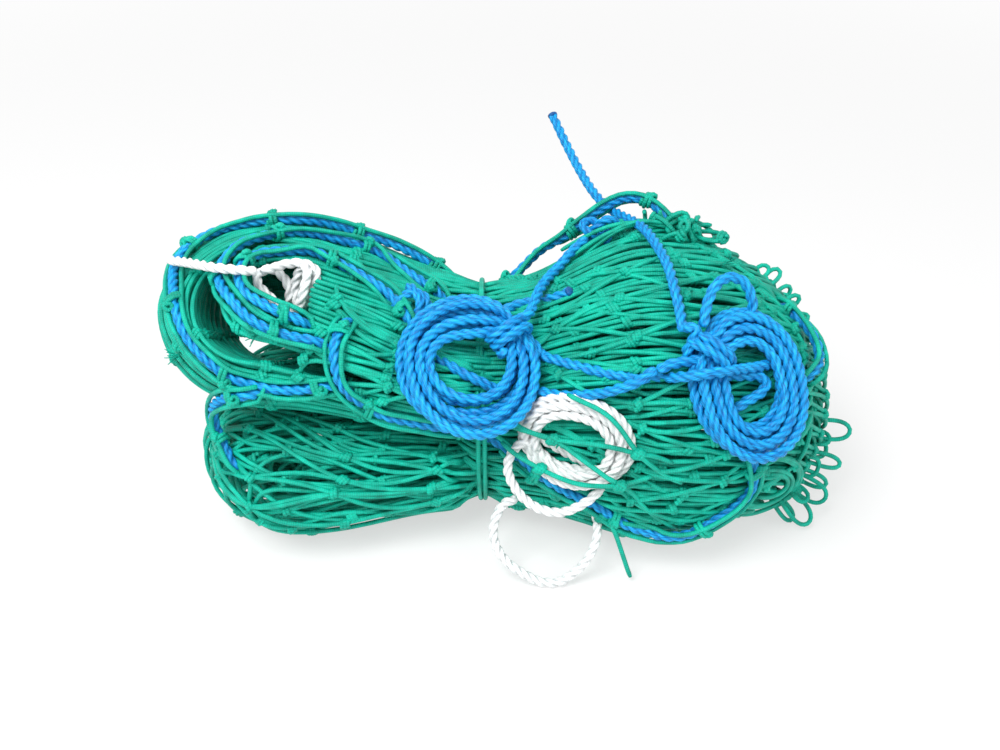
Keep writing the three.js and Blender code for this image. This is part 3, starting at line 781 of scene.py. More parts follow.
class Lobe:
    """The outside of a fold of net: a rounded section that swells from the waist and closes at the tip."""

    def __init__(self, start, tip, tip_y, tip_z, belly_at, round_from, waist, belly, powers):
        self.start, self.tip, self.tip_y, self.tip_z = start, tip, tip_y, tip_z
        self.belly_at, self.round_from = belly_at, round_from
        self.waist, self.belly, self.powers = np.array(waist, float), np.array(belly, float), powers

    def section(self, t):
        """Centre and half sizes across and up at t, and how far the section is from closed."""
        swell = smooth(t / self.belly_at)[..., None]
        y, depth, low, high = np.moveaxis(self.waist + (self.belly - self.waist) * swell, -1, 0)
        past = np.clip((t - self.round_from) / (1 - self.round_from), 0, 1)
        close = np.sqrt(1 - past**2)
        middle_y = self.tip_y + (y - self.tip_y) * close
        middle_z = self.tip_z + ((low + high) / 2 - self.tip_z) * close
        return middle_y, depth, middle_z, (high - low) / 2, close

    def inside(self, p):
        t = (p[..., 0] - self.start) / (self.tip - self.start)
        y, depth, z, height, close = self.section(np.clip(t, 0, 0.99999))
        across = (p[..., 1] - y) / (depth * close)
        up = (p[..., 2] - z) / (height * close)
        front_top, back_top, back_low, front_low = self.powers
        front_power = np.where(up > 0, front_top, front_low)
        back_power = np.where(up > 0, back_top, back_low)
        power = np.where(across < 0, front_power, back_power)
        return (np.abs(across) ** power + np.abs(up) ** power < 1) & (t < 1) & (p[..., 2] > 0)

    def outline(self, tilt):
        """The section's outline in unit sizes, turned by tilt, as a front and a back branch from its top pole
        to its low pole. Each has how high a point is on the poles' line and how far out it is beside it."""
        angles = np.linspace(-math.pi, math.pi, 6001)[:-1]
        cosine, sine = np.cos(angles), np.sin(angles)
        front_top, back_top, back_low, front_low = self.powers
        front_power = np.where(sine > 0, front_top, front_low)
        back_power = np.where(sine > 0, back_top, back_low)
        power = np.where(cosine < 0, front_power, back_power)
        across = np.sign(cosine) * np.abs(cosine) ** (2 / power)
        up = np.sign(sine) * np.abs(sine) ** (2 / power)
        high = across * math.sin(tilt) + up * math.cos(tilt)
        out = across * math.cos(tilt) - up * math.sin(tilt)
        start = int(np.argmax(high))
        ring = np.roll(np.stack([high, out, across, up], axis=1), -start, axis=0)
        low = int(np.argmin(ring[:, 0]))
        one, other = ring[: low + 1], np.vstack([ring[low:], ring[:1]])[::-1]
        front, back = (one, other) if one[:, 1].mean() < other[:, 1].mean() else (other, one)
        return front, back

    def hairpins(self, skin, spacing, tilt, phase, loose, points=84):
        """Strands that run out from the waist over the front, turn back at the tip and return at the back.
        Their columns are x, y, z, how many mesh sides they have gone, and which half they are on."""
        front, back = self.outline(tilt)
        _, depth, low, high = self.belly
        sizes = np.array([depth, (high - low) / 2]) * skin
        arc = np.concatenate([[0], np.cumsum(np.linalg.norm(np.diff(front[:, 2:] * sizes, axis=0), axis=1))])
        count = max(4, int(arc[-1] / spacing))
        row = np.arange(count)[:, None]
        psi = np.linspace(-1, 1, points)[None, :]
        waves = rng.normal(size=(5, count, 1)) * loose
        wander = waves[0] * np.sin(psi * 4 + waves[1] * 9) * 0.22 + waves[2] * 0.12
        rise = 1 + 0.007 * (waves[3] + np.sin(psi * 7 + waves[4] * 9) * loose) * (1 - 0.6 * psi**2)

        def place(index):
            along = np.interp((index + 0.5) / count * arc[-1], arc, front[:, 0])
            share = np.abs(along) / np.where(along > 0, front[0, 0], -front[-1, 0])
            turn_at = self.round_from + (1 - self.round_from) * np.sqrt(np.clip(1 - share**2, 0, 1))
            t = turn_at * (1 - psi**2)
            cy, half, cz, tall, close = self.section(np.minimum(t, 0.9999))
            at = along / close
            out = np.where(
                psi > 0, np.interp(-at, -front[:, 0], front[:, 1]), np.interp(-at, -back[:, 0], back[:, 1])
            ) * close
            across = along * math.sin(tilt) + out * math.cos(tilt)
            up = along * math.cos(tilt) - out * math.sin(tilt)
            reach = 1 - (1 - skin) * 0.45
            size = skin * rise
            x = self.start + (self.tip - self.start) * t * reach
            spots = np.stack([x, cy + half * size * across, cz + tall * size * up], axis=-1)
            return spots, half / depth, np.abs(out) * (half + tall) / 2

        first, narrow, beside = place(row + 0.0 * psi)
        gone = (np.abs(first[..., 0] - self.start) - 0.8 * beside) / MESH_SIDE + phase
        swing = zigzag(gone)
        room = 0.5 * np.clip(1 - TWINE * 1.06 / (spacing * narrow), 0, 1)
        side = np.where(row % 2 == 0, 1, -1)
        index = np.clip(row + side * room * swing + wander * room, -0.45, count - 0.55)
        lines, _, _ = place(index)
        half = np.broadcast_to(np.sign(psi), gone.shape)
        return np.concatenate([lines, gone[..., None], half[..., None]], axis=-1)


# ---------------------------------------------------------------- the waist
# All strands of the folds pass through the tied waist. Each goes under the tie and dives out of sight, so
# that the waist looks full and no cut end shows.
TIE_X = -10.0
WAIST_MIDDLE = np.array([0.0, 67.0])
WAIST_HALF = np.array([62.0, 58.0])
WAIST_POWER = 2.2


def into_waist(points, x, share):
    """The points moved to x, inside the waist's outline and drawn towards its middle by share."""
    off = points[:, 1:3] - WAIST_MIDDLE
    size = (np.abs(off / WAIST_HALF) ** WAIST_POWER).sum(axis=1) ** (1 / WAIST_POWER)
    off = off / np.maximum(size, 1)[:, None] * (1 - share)
    return np.column_stack([np.full(len(points), x), off + WAIST_MIDDLE])


def with_waist(lines, lean):
    """Adds both ends of each strand: under the tie and on into the waist. lean is the way that they go."""
    stagger = np.arange(len(lines)) % 3 * 0.035
    ends = []
    for end in (0, -1):
        at = lines[:, end]
        steps = [
            (TIE_X - lean * 5, stagger), (TIE_X, stagger + 0.01), (TIE_X + lean * 6, stagger + 0.08),
            (TIE_X + lean * 14, stagger + 0.24),
        ]
        made = []
        for x, share in steps:
            off = into_waist(at, x, share[:, None])
            made.append(np.concatenate([off, at[:, 3:]], axis=1))
        ends.append(made)
    low = np.stack(ends[0][::-1], axis=1)
    high = np.stack(ends[1], axis=1)
    return np.concatenate([low, lines, high], axis=1)


# What the strands give way to: the hanks press them down and the lashed ropes lie on them. Each hank has how
# far it reaches across and up its plane, and how deep it presses. A border rope's tucked ends press nothing.
ROPE_ROOM = BLUE_ROPE / 2 + TWINE / 2 + 0.1
TUCKED_POINTS = 9
rope_points = np.vstack([line[TUCKED_POINTS:-TUCKED_POINTS:2] for line in border_lines.values()])
PRESSED_BY = [(left_hank, (36.5, 37.5), 8.4), (right_hank, (33.5, 40), 8.4), (white_coil, (34, 28), 6.0)]
HANK_SIDE = 45


def beyond(hank, reach, points):
    """Points in a hank's plane, and how far they are past its edge as a share of its reach."""
    local = hank.local(points)
    return local, np.maximum(np.sqrt((local[:, 0] / reach[0]) ** 2 + (local[:, 1] / reach[1]) ** 2) - 1, 0)


def yielding(lines, deep, towards=None):
    """The strands, pressed under the hanks and drawn in under the lashed ropes."""
    p = lines[..., :3].copy()
    middle = np.array([0, 0, 62.0]) if towards is None else np.array(towards, float)
    inward = middle - p
    inward[..., 0] = 0
    inward /= np.maximum(np.linalg.norm(inward, axis=-1, keepdims=True), 1e-6)
    flat = p.reshape(-1, 3)
    push = np.zeros(len(flat))
    way = inward.reshape(-1, 3)
    for start in range(0, len(flat), 4000):
        block = flat[start : start + 4000]
        d = block[:, None, :] - rope_points[None]
        near = np.argmin((d**2).sum(axis=2), axis=1)
        off = d[np.arange(len(block)), near]
        w = way[start : start + 4000]
        along = (off * w).sum(axis=1)
        beside = np.sqrt(np.maximum((off**2).sum(axis=1) - along**2, 0))
        need = np.sqrt(np.maximum(ROPE_ROOM**2 - beside**2, 0)) - along
        close = (beside < ROPE_ROOM) & (np.abs(along) < 9)
        push[start : start + 4000] = np.where(close, np.maximum(need, 0), 0)
    flat = flat + way * push[:, None]
    for hank, reach, depth in PRESSED_BY:
        local, past = beyond(hank, reach, flat)
        over = np.maximum(local[:, 2] + depth + deep, 0) * (local[:, 2] < HANK_SIDE)
        flat = flat - hank.out * (over * smooth(1 - past / 0.28))[:, None]
    p = flat.reshape(p.shape)
    p[:, 1:-1] = 0.25 * p[:, :-2] + 0.5 * p[:, 1:-1] + 0.25 * p[:, 2:]
    p[..., 2] = np.maximum(p[..., 2], TWINE / 2)
    return np.concatenate([p, lines[..., 3:]], axis=-1)


def evened(lines, step=TWINE_STEP):
    """Each strand with even steps, all columns kept, all to the longest strand's count of points."""
    out = []
    longest = max(line_length(line[:, :3]) for line in lines)
    count = int(longest / step) + 2
    for line in lines:
        gone = np.concatenate([[0], np.cumsum(np.linalg.norm(np.diff(line[:, :3], axis=0), axis=1))])
        at = np.linspace(0, gone[-1], count)
        out.append(np.stack([np.interp(at, gone, line[:, k]) for k in range(line.shape[1])], axis=1))
    return np.array(out)


def mesh_knots(lines):
    """The knots between neighbouring strands, where they have gone a whole number of mesh sides."""
    out = []
    for j in range(len(lines) - 1):
        for half in (1, -1):
            rows = [lines[j + k][lines[j + k][:, 4] * half > 0.01] for k in (0, 1)]
            if min(len(row) for row in rows) < 4:
                continue
            rows = [row if row[0, 3] < row[-1, 3] else row[::-1] for row in rows]
            low = math.ceil(max(row[0, 3] for row in rows))
            high = math.floor(min(row[-1, 3] for row in rows))
            for whole in range(low, high + 1):
                if (j + whole) % 2:
                    continue
                found = []
                for row in rows:
                    i = int(np.argmin(np.abs(row[:, 3] - whole)))
                    i = min(max(i, 1), len(row) - 2)
                    found.append((row[i, :3], row[i + 1, :3] - row[i - 1, :3]))
                gap = found[1][0] - found[0][0]
                if np.linalg.norm(gap) > 9:
                    continue
                centre = (found[0][0] + found[1][0]) / 2
                along = found[0][1] + found[1][1]
                if np.linalg.norm(along) < 1e-3:
                    continue
                start = float(rng.uniform(0, 6.3))
                reach = (min(3.1, float(np.linalg.norm(gap)) / 2 + 0.9), 2.1)
                turns = float(rng.uniform(2.1, 2.8))
                out.append(knot(centre, along, gap, reach, length=4.8, turns=turns, start=start))
    return out


def fold_pieces(name, nodes, outer_lines, inner_lines, knots):
    """A fold's outer strands, which stand for its CAD nodes, the strands that fill it, and its knots."""
    outer = twine_piece(name + "_strands", outer_lines)
    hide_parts(*nodes)
    twine_piece(name + "_filling", inner_lines, sides=6, step=7.0)
    knot_piece(name + "_knots", knots, diameter=TWINE * 0.92)


def net_fold(name, lobe, nodes, skins, lean, towards, tilt, loose, turn=5.0):
    """A whole fold: its outer skin with knots, and the inner skins that fill it. Each skin has its size as a
    share of the fold's and the space from one strand to the next."""
    outer_lines, knots, inner_lines = [], [], []
    for number, (skin, spacing) in enumerate(skins):
        lay = math.radians(tilt + turn * math.sin(2.4 * number))
        strands = lobe.hairpins(skin, spacing, lay, number * 0.37, loose)
        lines = evened(with_waist(strands, lean))
        lines = yielding(lines, deep=number * 3.2, towards=towards)
        if number == 0:
            outer_lines = list(lines)
            knots = mesh_knots(lines)
        else:
            inner_lines += list(lines)
            if number <= 2:
                knots += mesh_knots(lines)
    fold_pieces(name, nodes, outer_lines, inner_lines, knots)


# ---------------------------------------------------------------- right fold
# The right half of the bundle is one full fold of the net, fanned out from the waist. Its strands lie close
# together, and turn back at the far right end.
right_lobe = Lobe(
    start=4, tip=191, tip_y=2, tip_z=50, belly_at=0.42, round_from=0.38, waist=(0, 63, 8, 126),
    belly=(0, 86, -2, 155), powers=(2.0, 2.4, 2.6, 3.0),
)
net_fold(
    "right_fold", right_lobe, ["net_high_right_fold", "net_low_right_fold", "net_end_loops", "net_waist"],
    [(0.99, 5.6), (0.952, 5.4), (0.9, 5.6), (0.83, 6), (0.72, 7), (0.58, 8)], lean=-1, towards=(0, 0, 62),
    tilt=38, loose=1.5,
)

# ---------------------------------------------------------------- low left fold
# The low left fold lies on the floor under the high one. It is looser, so its meshes stand open on the front.
low_left_lobe = Lobe(
    start=-24, tip=-177, tip_y=0, tip_z=34, belly_at=0.6, round_from=0.6, waist=(0, 63, 8, 68),
    belly=(0, 78, -2, 75), powers=(3.4, 3.4, 2.6, 2.4),
)
net_fold(
    "low_left_fold", low_left_lobe, ["net_low_left_fold"],
    [(0.96, 11), (0.91, 9), (0.84, 6.5), (0.74, 6), (0.6, 7), (0.45, 8)], lean=1, towards=(0, 0, 38), tilt=90,
    loose=2.0, turn=14.0,
)

# ---------------------------------------------------------------- high left fold
# The high left fold is a fold within a fold. Both are bent round in a U whose open side, the eye, looks up
# and forward. Points here have x along the bundle, rise up the slope of the eye, and out of it.
high_left_lobe = Lobe(
    start=-24, tip=-189, tip_y=6, tip_z=120, belly_at=0.6, round_from=0.6, waist=(0, 62, 69, 126),
    belly=(8, 66, 79, 158), powers=(2.4, 2.6, 3.4, 3.4),
)
EYE_TILT = math.radians(55)
EYE_AT = np.array([0.0, 20.0, 62.0])
EYE_UP = np.array([0, math.cos(EYE_TILT), math.sin(EYE_TILT)])
EYE_OUT = np.array([0, -math.sin(EYE_TILT), math.cos(EYE_TILT)])
EYE_RIGHT = np.array([-33.0, 17.0])


def from_eye(x, rise, out):
    x, rise, out = np.broadcast_arrays(x, rise, out)
    along = np.array([1.0, 0, 0])
    return EYE_AT + x[..., None] * along + rise[..., None] * EYE_UP + out[..., None] * EYE_OUT


def eye_surface(lobe, x, rise, least=20.0, most=135.0, halvings=18):
    """How far out the lobe's surface is at x and rise, found by halving between least and most."""
    x, rise = np.broadcast_arrays(np.asarray(x, float), np.asarray(rise, float))
    low, high = np.full(x.shape, least), np.full(x.shape, most)
    for _ in range(halvings):
        middle = (low + high) / 2
        inside = lobe.inside(from_eye(x, rise, middle))
        low, high = np.where(inside, middle, low), np.where(inside, high, middle)
    return low


def net_sheet(surface, high_edge, low_edge, columns, rows, lift=0.8, dips=(8.0, 12.0), slack=0.2, bow=2.6):
    """Open meshes over a fold, between two edges that are given as x and rise. The knots stand in columns,
    and every other column is half a row off. A strand runs through its knots and turns back at an edge."""
    edges = [smooth_line([(x, rise, 0) for x, rise in edge], 2.0) for edge in (high_edge, low_edge)]
    edges = [resampled(edge, 80) for edge in edges]

    def spot(u, v):
        at = np.clip(u, 0, 1) * 79
        high, low = (np.array([np.interp(at, np.arange(80), edge[:, k]) for k in (0, 1)]).T for edge in edges)
        return high + (low - high) * np.asarray(v)[..., None]

    stations = [0.0, *columns, 1.0]
    off = rng.normal(size=(len(stations), 2 * rows + 1, 2)) * [0.018, slack / rows]
    lines, knots = [], []
    for first in range(0, 2 * rows + 1, 2):
        for way in (1, -1):
            places = []
            for c in range(len(stations)):
                k = abs(first + way * c)
                k = 2 * (2 * rows) - k if k > 2 * rows else k
                places.append((stations[c] + off[c, k, 0], np.clip(k / (2 * rows) + off[c, k, 1], 0, 1)))
            places = np.array(places)
            dense = np.linspace(0, len(stations) - 1, 12 * len(stations))
            u = np.interp(dense, np.arange(len(stations)), places[:, 0])
            v = np.interp(dense, np.arange(len(stations)), places[:, 1])
            flat = spot(u, v)
            flat[:, 1] += bow * rng.normal() * np.sin(math.pi * dense)
            flat[1:-1] = 0.25 * flat[:-2] + 0.5 * flat[1:-1] + 0.25 * flat[2:]
            left = smooth(1 - dense / 0.5) * dips[0]
            right = smooth((dense - len(stations) + 1.5) / 0.5) * dips[1]
            above = lift + 0.5 * way * np.abs(np.sin(math.pi * dense)) - left - right
            lines.append(from_eye(flat[:, 0], flat[:, 1], surface(flat[:, 0], flat[:, 1]) + above))
    for c in range(1, len(stations) - 1):
        for k in range(c % 2, 2 * rows + 1, 2):
            middle = spot(stations[c] + off[c, k, 0], np.clip(k / (2 * rows) + off[c, k, 1], 0, 1))
            centre = from_eye(middle[0], middle[1], surface(middle[0], middle[1]) + lift)
            knots.append((centre, float(rng.uniform(0, 6.3)), float(rng.uniform(2.2, 2.9))))
    return lines, knots


def sheet_piece(name, sheets, towards):
    """Sheets of net laid over a fold as one mesh, with their knots as another."""
    lines = yielding(evened([line for made, _ in sheets for line in made]), deep=-1.0, towards=towards)
    twine_piece(name + "_strands", list(lines))
    across = np.array([1.0, 0, 0])
    size = {"reach": (2.2, 2.0), "length": 4.4}
    ties = []
    for _, knots in sheets:
        short = np.array([[c + across * d for d in (-1, 0, 1)] for c, _, _ in knots])
        centres = yielding(short, deep=-1.0, towards=towards)[:, 1]
        ties += [
            knot(c, across + EYE_UP * 0.9 * math.sin(5 * s), EYE_UP, start=s, turns=t, **size)
            for c, (_, s, t) in zip(centres, knots)
        ]
    knot_piece(name + "_knots", ties)


def over(lobe):
    """The surface of a lobe, for a sheet of net to lie on."""
    return lambda x, rise: eye_surface(lobe, x, rise)


# The low left fold's front is two slack sheets of open meshes, one a little deeper than the other.
LOW_HIGH_EDGE = [(-162, -34), (-150, -14), (-124, -9), (-80, -31), (-31, -40), (-14, -42)]
LOW_LOW_EDGE = [(-160, -44), (-148, -66), (-124, -82), (-79, -83), (-31, -74), (-14, -66)]
sheet_piece(
    "low_fold_front",
    [
        net_sheet(over(low_left_lobe), LOW_HIGH_EDGE, LOW_LOW_EDGE, (0.26, 0.55, 0.86), 4),
        net_sheet(over(low_left_lobe), LOW_HIGH_EDGE, LOW_LOW_EDGE, (0.10, 0.40, 0.70), 5, lift=-2.4),
    ],
    towards=(0, 0, 38),
)

# The right fold's outer meshes lie slack over its skin, so their strands cross.
RIGHT_HIGH_EDGE = [(168, 24), (156, 46), (130, 63), (98, 70), (56, 60), (20, 42), (-2, 34)]
RIGHT_LOW_EDGE = [(170, -26), (162, -50), (134, -70), (100, -78), (56, -70), (20, -46), (-2, -38)]
sheet_piece(
    "right_fold_front",
    [
        net_sheet(over(right_lobe), RIGHT_HIGH_EDGE, RIGHT_LOW_EDGE, (0.12, 0.36, 0.6, 0.84), 8, lift=0.9),
        net_sheet(over(right_lobe), RIGHT_HIGH_EDGE, RIGHT_LOW_EDGE, (0.24, 0.48, 0.72), 7, lift=-1.2),
    ],
    towards=(0, 0, 62),
)


SUNK = 1.5  # every other strand of a turn lies this much deeper


class Bend:
    """Net bent in a U: inside the high fold, outside one slot and, if it is given, inside another."""

    def __init__(self, start, inner, outer, low_out, high_out, steps=76):
        self.inner, self.outer, self.low_out, self.high_out = inner, outer, low_out, high_out
        arm = np.linalg.norm(EYE_RIGHT - start)
        turn = math.pi * (inner[0] + 12)
        at = np.linspace(0, 2 * arm + turn, steps)
        share = np.clip(np.where(at < arm + turn / 2, at / arm, (2 * arm + turn - at) / arm), 0, 1)
        self.share = share
        angle = math.pi / 2 + np.clip((at - arm) / turn, 0, 1) * math.pi
        self.origin = EYE_RIGHT + (np.array(start) - EYE_RIGHT) * share[:, None]
        self.ray = np.stack([np.cos(angle), np.sin(angle)], axis=1)
        self.least = inner[1] + (inner[0] - inner[1]) * share
        self.most = outer[1] + (outer[0] - outer[1]) * share if outer else np.full(steps, 999.0)
        radius = np.linspace(0, 110, 56)[None, :, None]
        out = np.linspace(-95, 118, 56)[None, None, :]
        held = self.holds(radius, out)
        furthest = np.where(held.any(axis=2), radius[..., 0], 0).max(axis=1)
        self.least = np.minimum(self.least, furthest - 7)
        held &= radius >= self.least[:, None, None]
        total = np.maximum(held.sum(axis=(1, 2)), 1)
        middles = [(held * size).sum(axis=(1, 2)) / total for size in (radius, out)]
        self.middle = np.stack(
            [np.convolve(np.pad(m, 3, "edge"), np.ones(7) / 7, "valid") for m in middles], 1
        )

    def point(self, radius, out):
        shape = (-1,) + (1,) * (np.ndim(radius) - 1)
        x = self.origin[:, 0].reshape(shape) + radius * self.ray[:, 0].reshape(shape)
        rise = self.origin[:, 1].reshape(shape) + radius * self.ray[:, 1].reshape(shape)
        return from_eye(x, rise, out)

    def holds(self, radius, out):
        shape = (-1,) + (1,) * (np.ndim(radius) - 1)
        radius, out = np.broadcast_arrays(radius + np.zeros(self.least.reshape(shape).shape), out)
        fits = (radius > self.least.reshape(shape)) & (radius < self.most.reshape(shape))
        fits &= (out > self.low_out) & (out < self.high_out)
        return fits & high_left_lobe.inside(self.point(radius, out))

    def strands(self, spacing, shrink, loose=0.6, phase=0.0):
        """Strands along the U, evenly round the band's section, which is drawn in by shrink."""
        turns = np.linspace(0, 2 * math.pi, 97)
        step = np.stack([-np.cos(turns), np.sin(turns)], axis=1)
        low = np.zeros((len(self.share), len(turns)))
        high = np.full_like(low, 130.0)
        for _ in range(16):
            middle = (low + high) / 2
            inside = self.holds(*(self.middle[:, k : k + 1] + middle * step[:, k] for k in (0, 1)))
            low, high = np.where(inside, middle, low), np.where(inside, high, middle)
        low = np.maximum(low - 1.2, 0.5) * shrink
        ring = np.stack([self.middle[:, k : k + 1] + low * step[:, k] for k in (0, 1)], axis=-1)
        arc = np.linalg.norm(np.diff(ring, axis=1), axis=2)
        arc = np.concatenate([np.zeros((len(arc), 1)), np.cumsum(arc, axis=1)], axis=1)
        typical = float(np.median(arc[:, -1]))
        count = int(typical / spacing / 2) * 2
        row = np.arange(count)[:, None]
        at = np.arange(len(self.share))[None, :]
        waves = rng.normal(size=(3, count, 1)) * loose
        length = np.linalg.norm(np.diff(self.point(self.middle[:, 0], self.middle[:, 1]), axis=0), axis=1)
        gone = np.concatenate([[0], np.cumsum(length)])[None, :] / MESH_SIDE + phase
        swing = zigzag(gone)
        room = 0.5 * max(0.0, 1 - TWINE * 1.06 / spacing)
        side = np.where(row % 2 == 0, 1, -1)
        wander = waves[0] * np.sin(at * 0.1 + waves[1] * 9) * 0.3 + waves[2] * 0.2
        index = row + side * room * swing + wander * room
        fraction = ((index / count) % 1).T
        found = np.empty((len(self.share), count, 2))
        for i in range(len(self.share)):
            for k in range(2):
                found[i, :, k] = np.interp(fraction[i] * arc[i, -1], arc[i], ring[i, :, k])
        inward = self.middle[:, None] - found
        inward /= np.maximum(np.linalg.norm(inward, axis=2, keepdims=True), 1.0)
        found += inward * (np.arange(count) % 2 * SUNK)[None, :, None]
        lines = np.moveaxis(self.point(found[..., 0], found[..., 1]), 0, 1)
        gone = np.broadcast_to(gone, lines.shape[:2])
        return np.concatenate([lines, gone[..., None], np.ones(lines.shape[:2] + (1,))], axis=-1)


def bent_fold(name, bend, nodes, skins):
    """A turn of the high fold: its outer skin with knots, and the inner skins that fill it."""
    outer_lines, knots, inner_lines = [], [], []
    for number, (shrink, spacing) in enumerate(skins):
        lines = evened(with_waist(bend.strands(spacing, shrink, phase=number * 0.4), lean=1))
        lines = yielding(lines, deep=number * 3.0, towards=(0, 8, 110))
        if number == 0:
            outer_lines = list(lines)
            knots = mesh_knots(lines)
        else:
            inner_lines += list(lines)
    fold_pieces(name, nodes, outer_lines, inner_lines, knots)


outer_bend = Bend((-126, 41), inner=(34.0, 34.0), outer=None, low_out=-200, high_out=200)
bent_fold(
    "high_fold_outer_turn", outer_bend, ["net_high_left_turn"],
    [(1.0, 4.0), (0.86, 4.6), (0.66, 5), (0.42, 5)],
)
inner_bend = Bend((-118, 44), inner=(18.5, 20.0), outer=(26.5, 32.0), low_out=-40, high_out=200)
bent_fold("high_fold_inner_turn", inner_bend, ["net_inner_turn"], [(1.0, 3.6), (0.6, 4)])

# The flap lies in the inner turn: its strands turn back at a row of knots beside the white hank.
FLAP_EDGE = -98.0
FLAP_POINTS = 30
flap_lines = []
for layer, (drop, inset) in enumerate(((1.4, 0), (5.5, 2), (10, 4))):
    rows = 12 - layer
    for j in range(rows):
        v = (j + 0.5) / rows * 2 - 1
        along = np.linspace(0, 1, FLAP_POINTS)
        x = EYE_RIGHT[0] + (FLAP_EDGE + inset - EYE_RIGHT[0]) * along
        share = (x - EYE_RIGHT[0]) / (-117 - EYE_RIGHT[0])
        half = 21.0 + (17 - 21.0) * share
        sway = 0.07 * np.sin(along * 9 + j * 2.1) * (1 - along)
        rise = EYE_RIGHT[1] + (47 - EYE_RIGHT[1]) * share + half * (v * 0.93 + sway)
        top = eye_surface(high_left_lobe, x, rise, least=30.0, most=125.0, halvings=16)
        front = from_eye(x, rise, top - drop - 1.2 * math.cos(j * 2.4))
        ends = from_eye(
            np.array([FLAP_EDGE - 0.8 + inset, FLAP_EDGE + inset]), rise[-1:] + np.array([0.3, 0.6]),
            top[-1] - drop - np.array([4.0, 9.0]),
        )
        deep = from_eye(x[::-1] + 2, rise[::-1], np.full(FLAP_POINTS, 50.0 + 2 * layer))
        flap_lines.append(np.vstack([front, ends, deep]))
flap_lines = evened(with_waist(np.array(flap_lines)[:, ::-1], lean=1))
flap_lines = yielding(flap_lines, deep=0.0, towards=(0, 20, 62))
flap = twine_piece("flap_strands", list(flap_lines))
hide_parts("net_flap")

# Its front meshes, with the column of knots where they turn back, and the net at the bottom of the pocket.
sheet_piece(
    "flap_front",
    [
        net_sheet(
            over(high_left_lobe), [(-86, 49), (-72, 38), (-50, 23), (-30, 12), (-14, 6)],
            [(-107, -8), (-86, -13), (-58, -14), (-30, -12), (-14, -12)], (0.04, 0.5), 6, lift=1.0,
            dips=(12.0, 8.0),
        ),
    ],
    towards=(0, 20, 62),
)
POCKET_DEPTH = 36.0
sheet_piece(
    "pocket_floor",
    [
        net_sheet(
            lambda x, rise: POCKET_DEPTH - 3.0 * layer + 0.0 * x, [(-134, 66), (-84, 56), (-30, 40)],
            [(-134, 26), (-84, 22), (-30, 4)], (0.2 + 0.1 * layer, 0.6), 8, dips=(0.0, 0.0),
        )
        for layer in range(2)
    ],
    towards=(0, 20, 62),
)

# ---------------------------------------------------------------- waist tie and loose twine
# One length of twine goes twice round the waist, and dips under the left hank. A cut end of the border's
# lashing stands out below the white coil.
TIE_HALF = (64.2, 60.0)
TIE_DEPTH = 14.0  # under the left hank's plane
turn = np.linspace(-1.9, 2 * math.pi * 2 - 1.3, 260)[:, None]
tie_size = (np.abs(np.cos(turn)) ** WAIST_POWER + np.abs(np.sin(turn)) ** WAIST_POWER) ** (-1 / WAIST_POWER)
tie_line = np.concatenate([
    TIE_X - 1.7 + 3.4 * turn / turn[-1] + 0.8 * np.sin(turn * 1.5),
    WAIST_MIDDLE[0] + TIE_HALF[0] * tie_size * np.cos(turn),
    WAIST_MIDDLE[1] + TIE_HALF[1] * tie_size * np.sin(turn),
], axis=1)
local, past = beyond(left_hank, PRESSED_BY[0][1], tie_line)
pressed = np.maximum(local[:, 2] + TIE_DEPTH, 0) * smooth(1 - past / 0.3) * (local[:, 2] < HANK_SIDE)
tie_line -= left_hank.out * pressed[:, None]
tie = twine_piece("waist_tie_turns", [tie_line], step=3.0)
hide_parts("waist_tie")

end_line = smooth_line(
    [(60, -81, 34.2), (63, -82.5, 27), (66.5, -85, 17), (70, -88, 7), (71.5, -89.5, 3.5)], 2.0
)
end_piece = tubes(
    "twine_cut_end", [(end_line[None], round_outline(TWINE, 8), 0)], green_twine, "root"
)
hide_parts("twine_end")

# ---------------------------------------------------------------- white hank
# The white lead's short turns, pushed into the pocket of the inner fold. Each point is x, rise and out.
pocket_turns = [
    (-123, 53.5, 91), (-119, 55, 88), (-112, 58, 83), (-103, 58.5, 81), (-97, 55, 80), (-97, 49, 80),
    (-100, 43, 79), (-104, 37, 76), (-108, 39, 73), (-109, 46, 74), (-107, 53, 77), (-103.5, 57.5, 80),
    (-100.5, 54, 84), (-101.5, 48, 85), (-103, 42, 85), (-105, 36.5, 82), (-110, 34.5, 79),
    (-116, 37, 79), (-122, 42, 81), (-127, 48, 82), (-127, 53, 80), (-121, 56, 78), (-115, 52, 76),
    (-112, 45, 74), (-113, 39, 71),
]
free_rope(
    "white_hank_turns", [tuple(from_eye(*map(np.array, p))) for p in pocket_turns], WHITE, ["white_hank"],
)

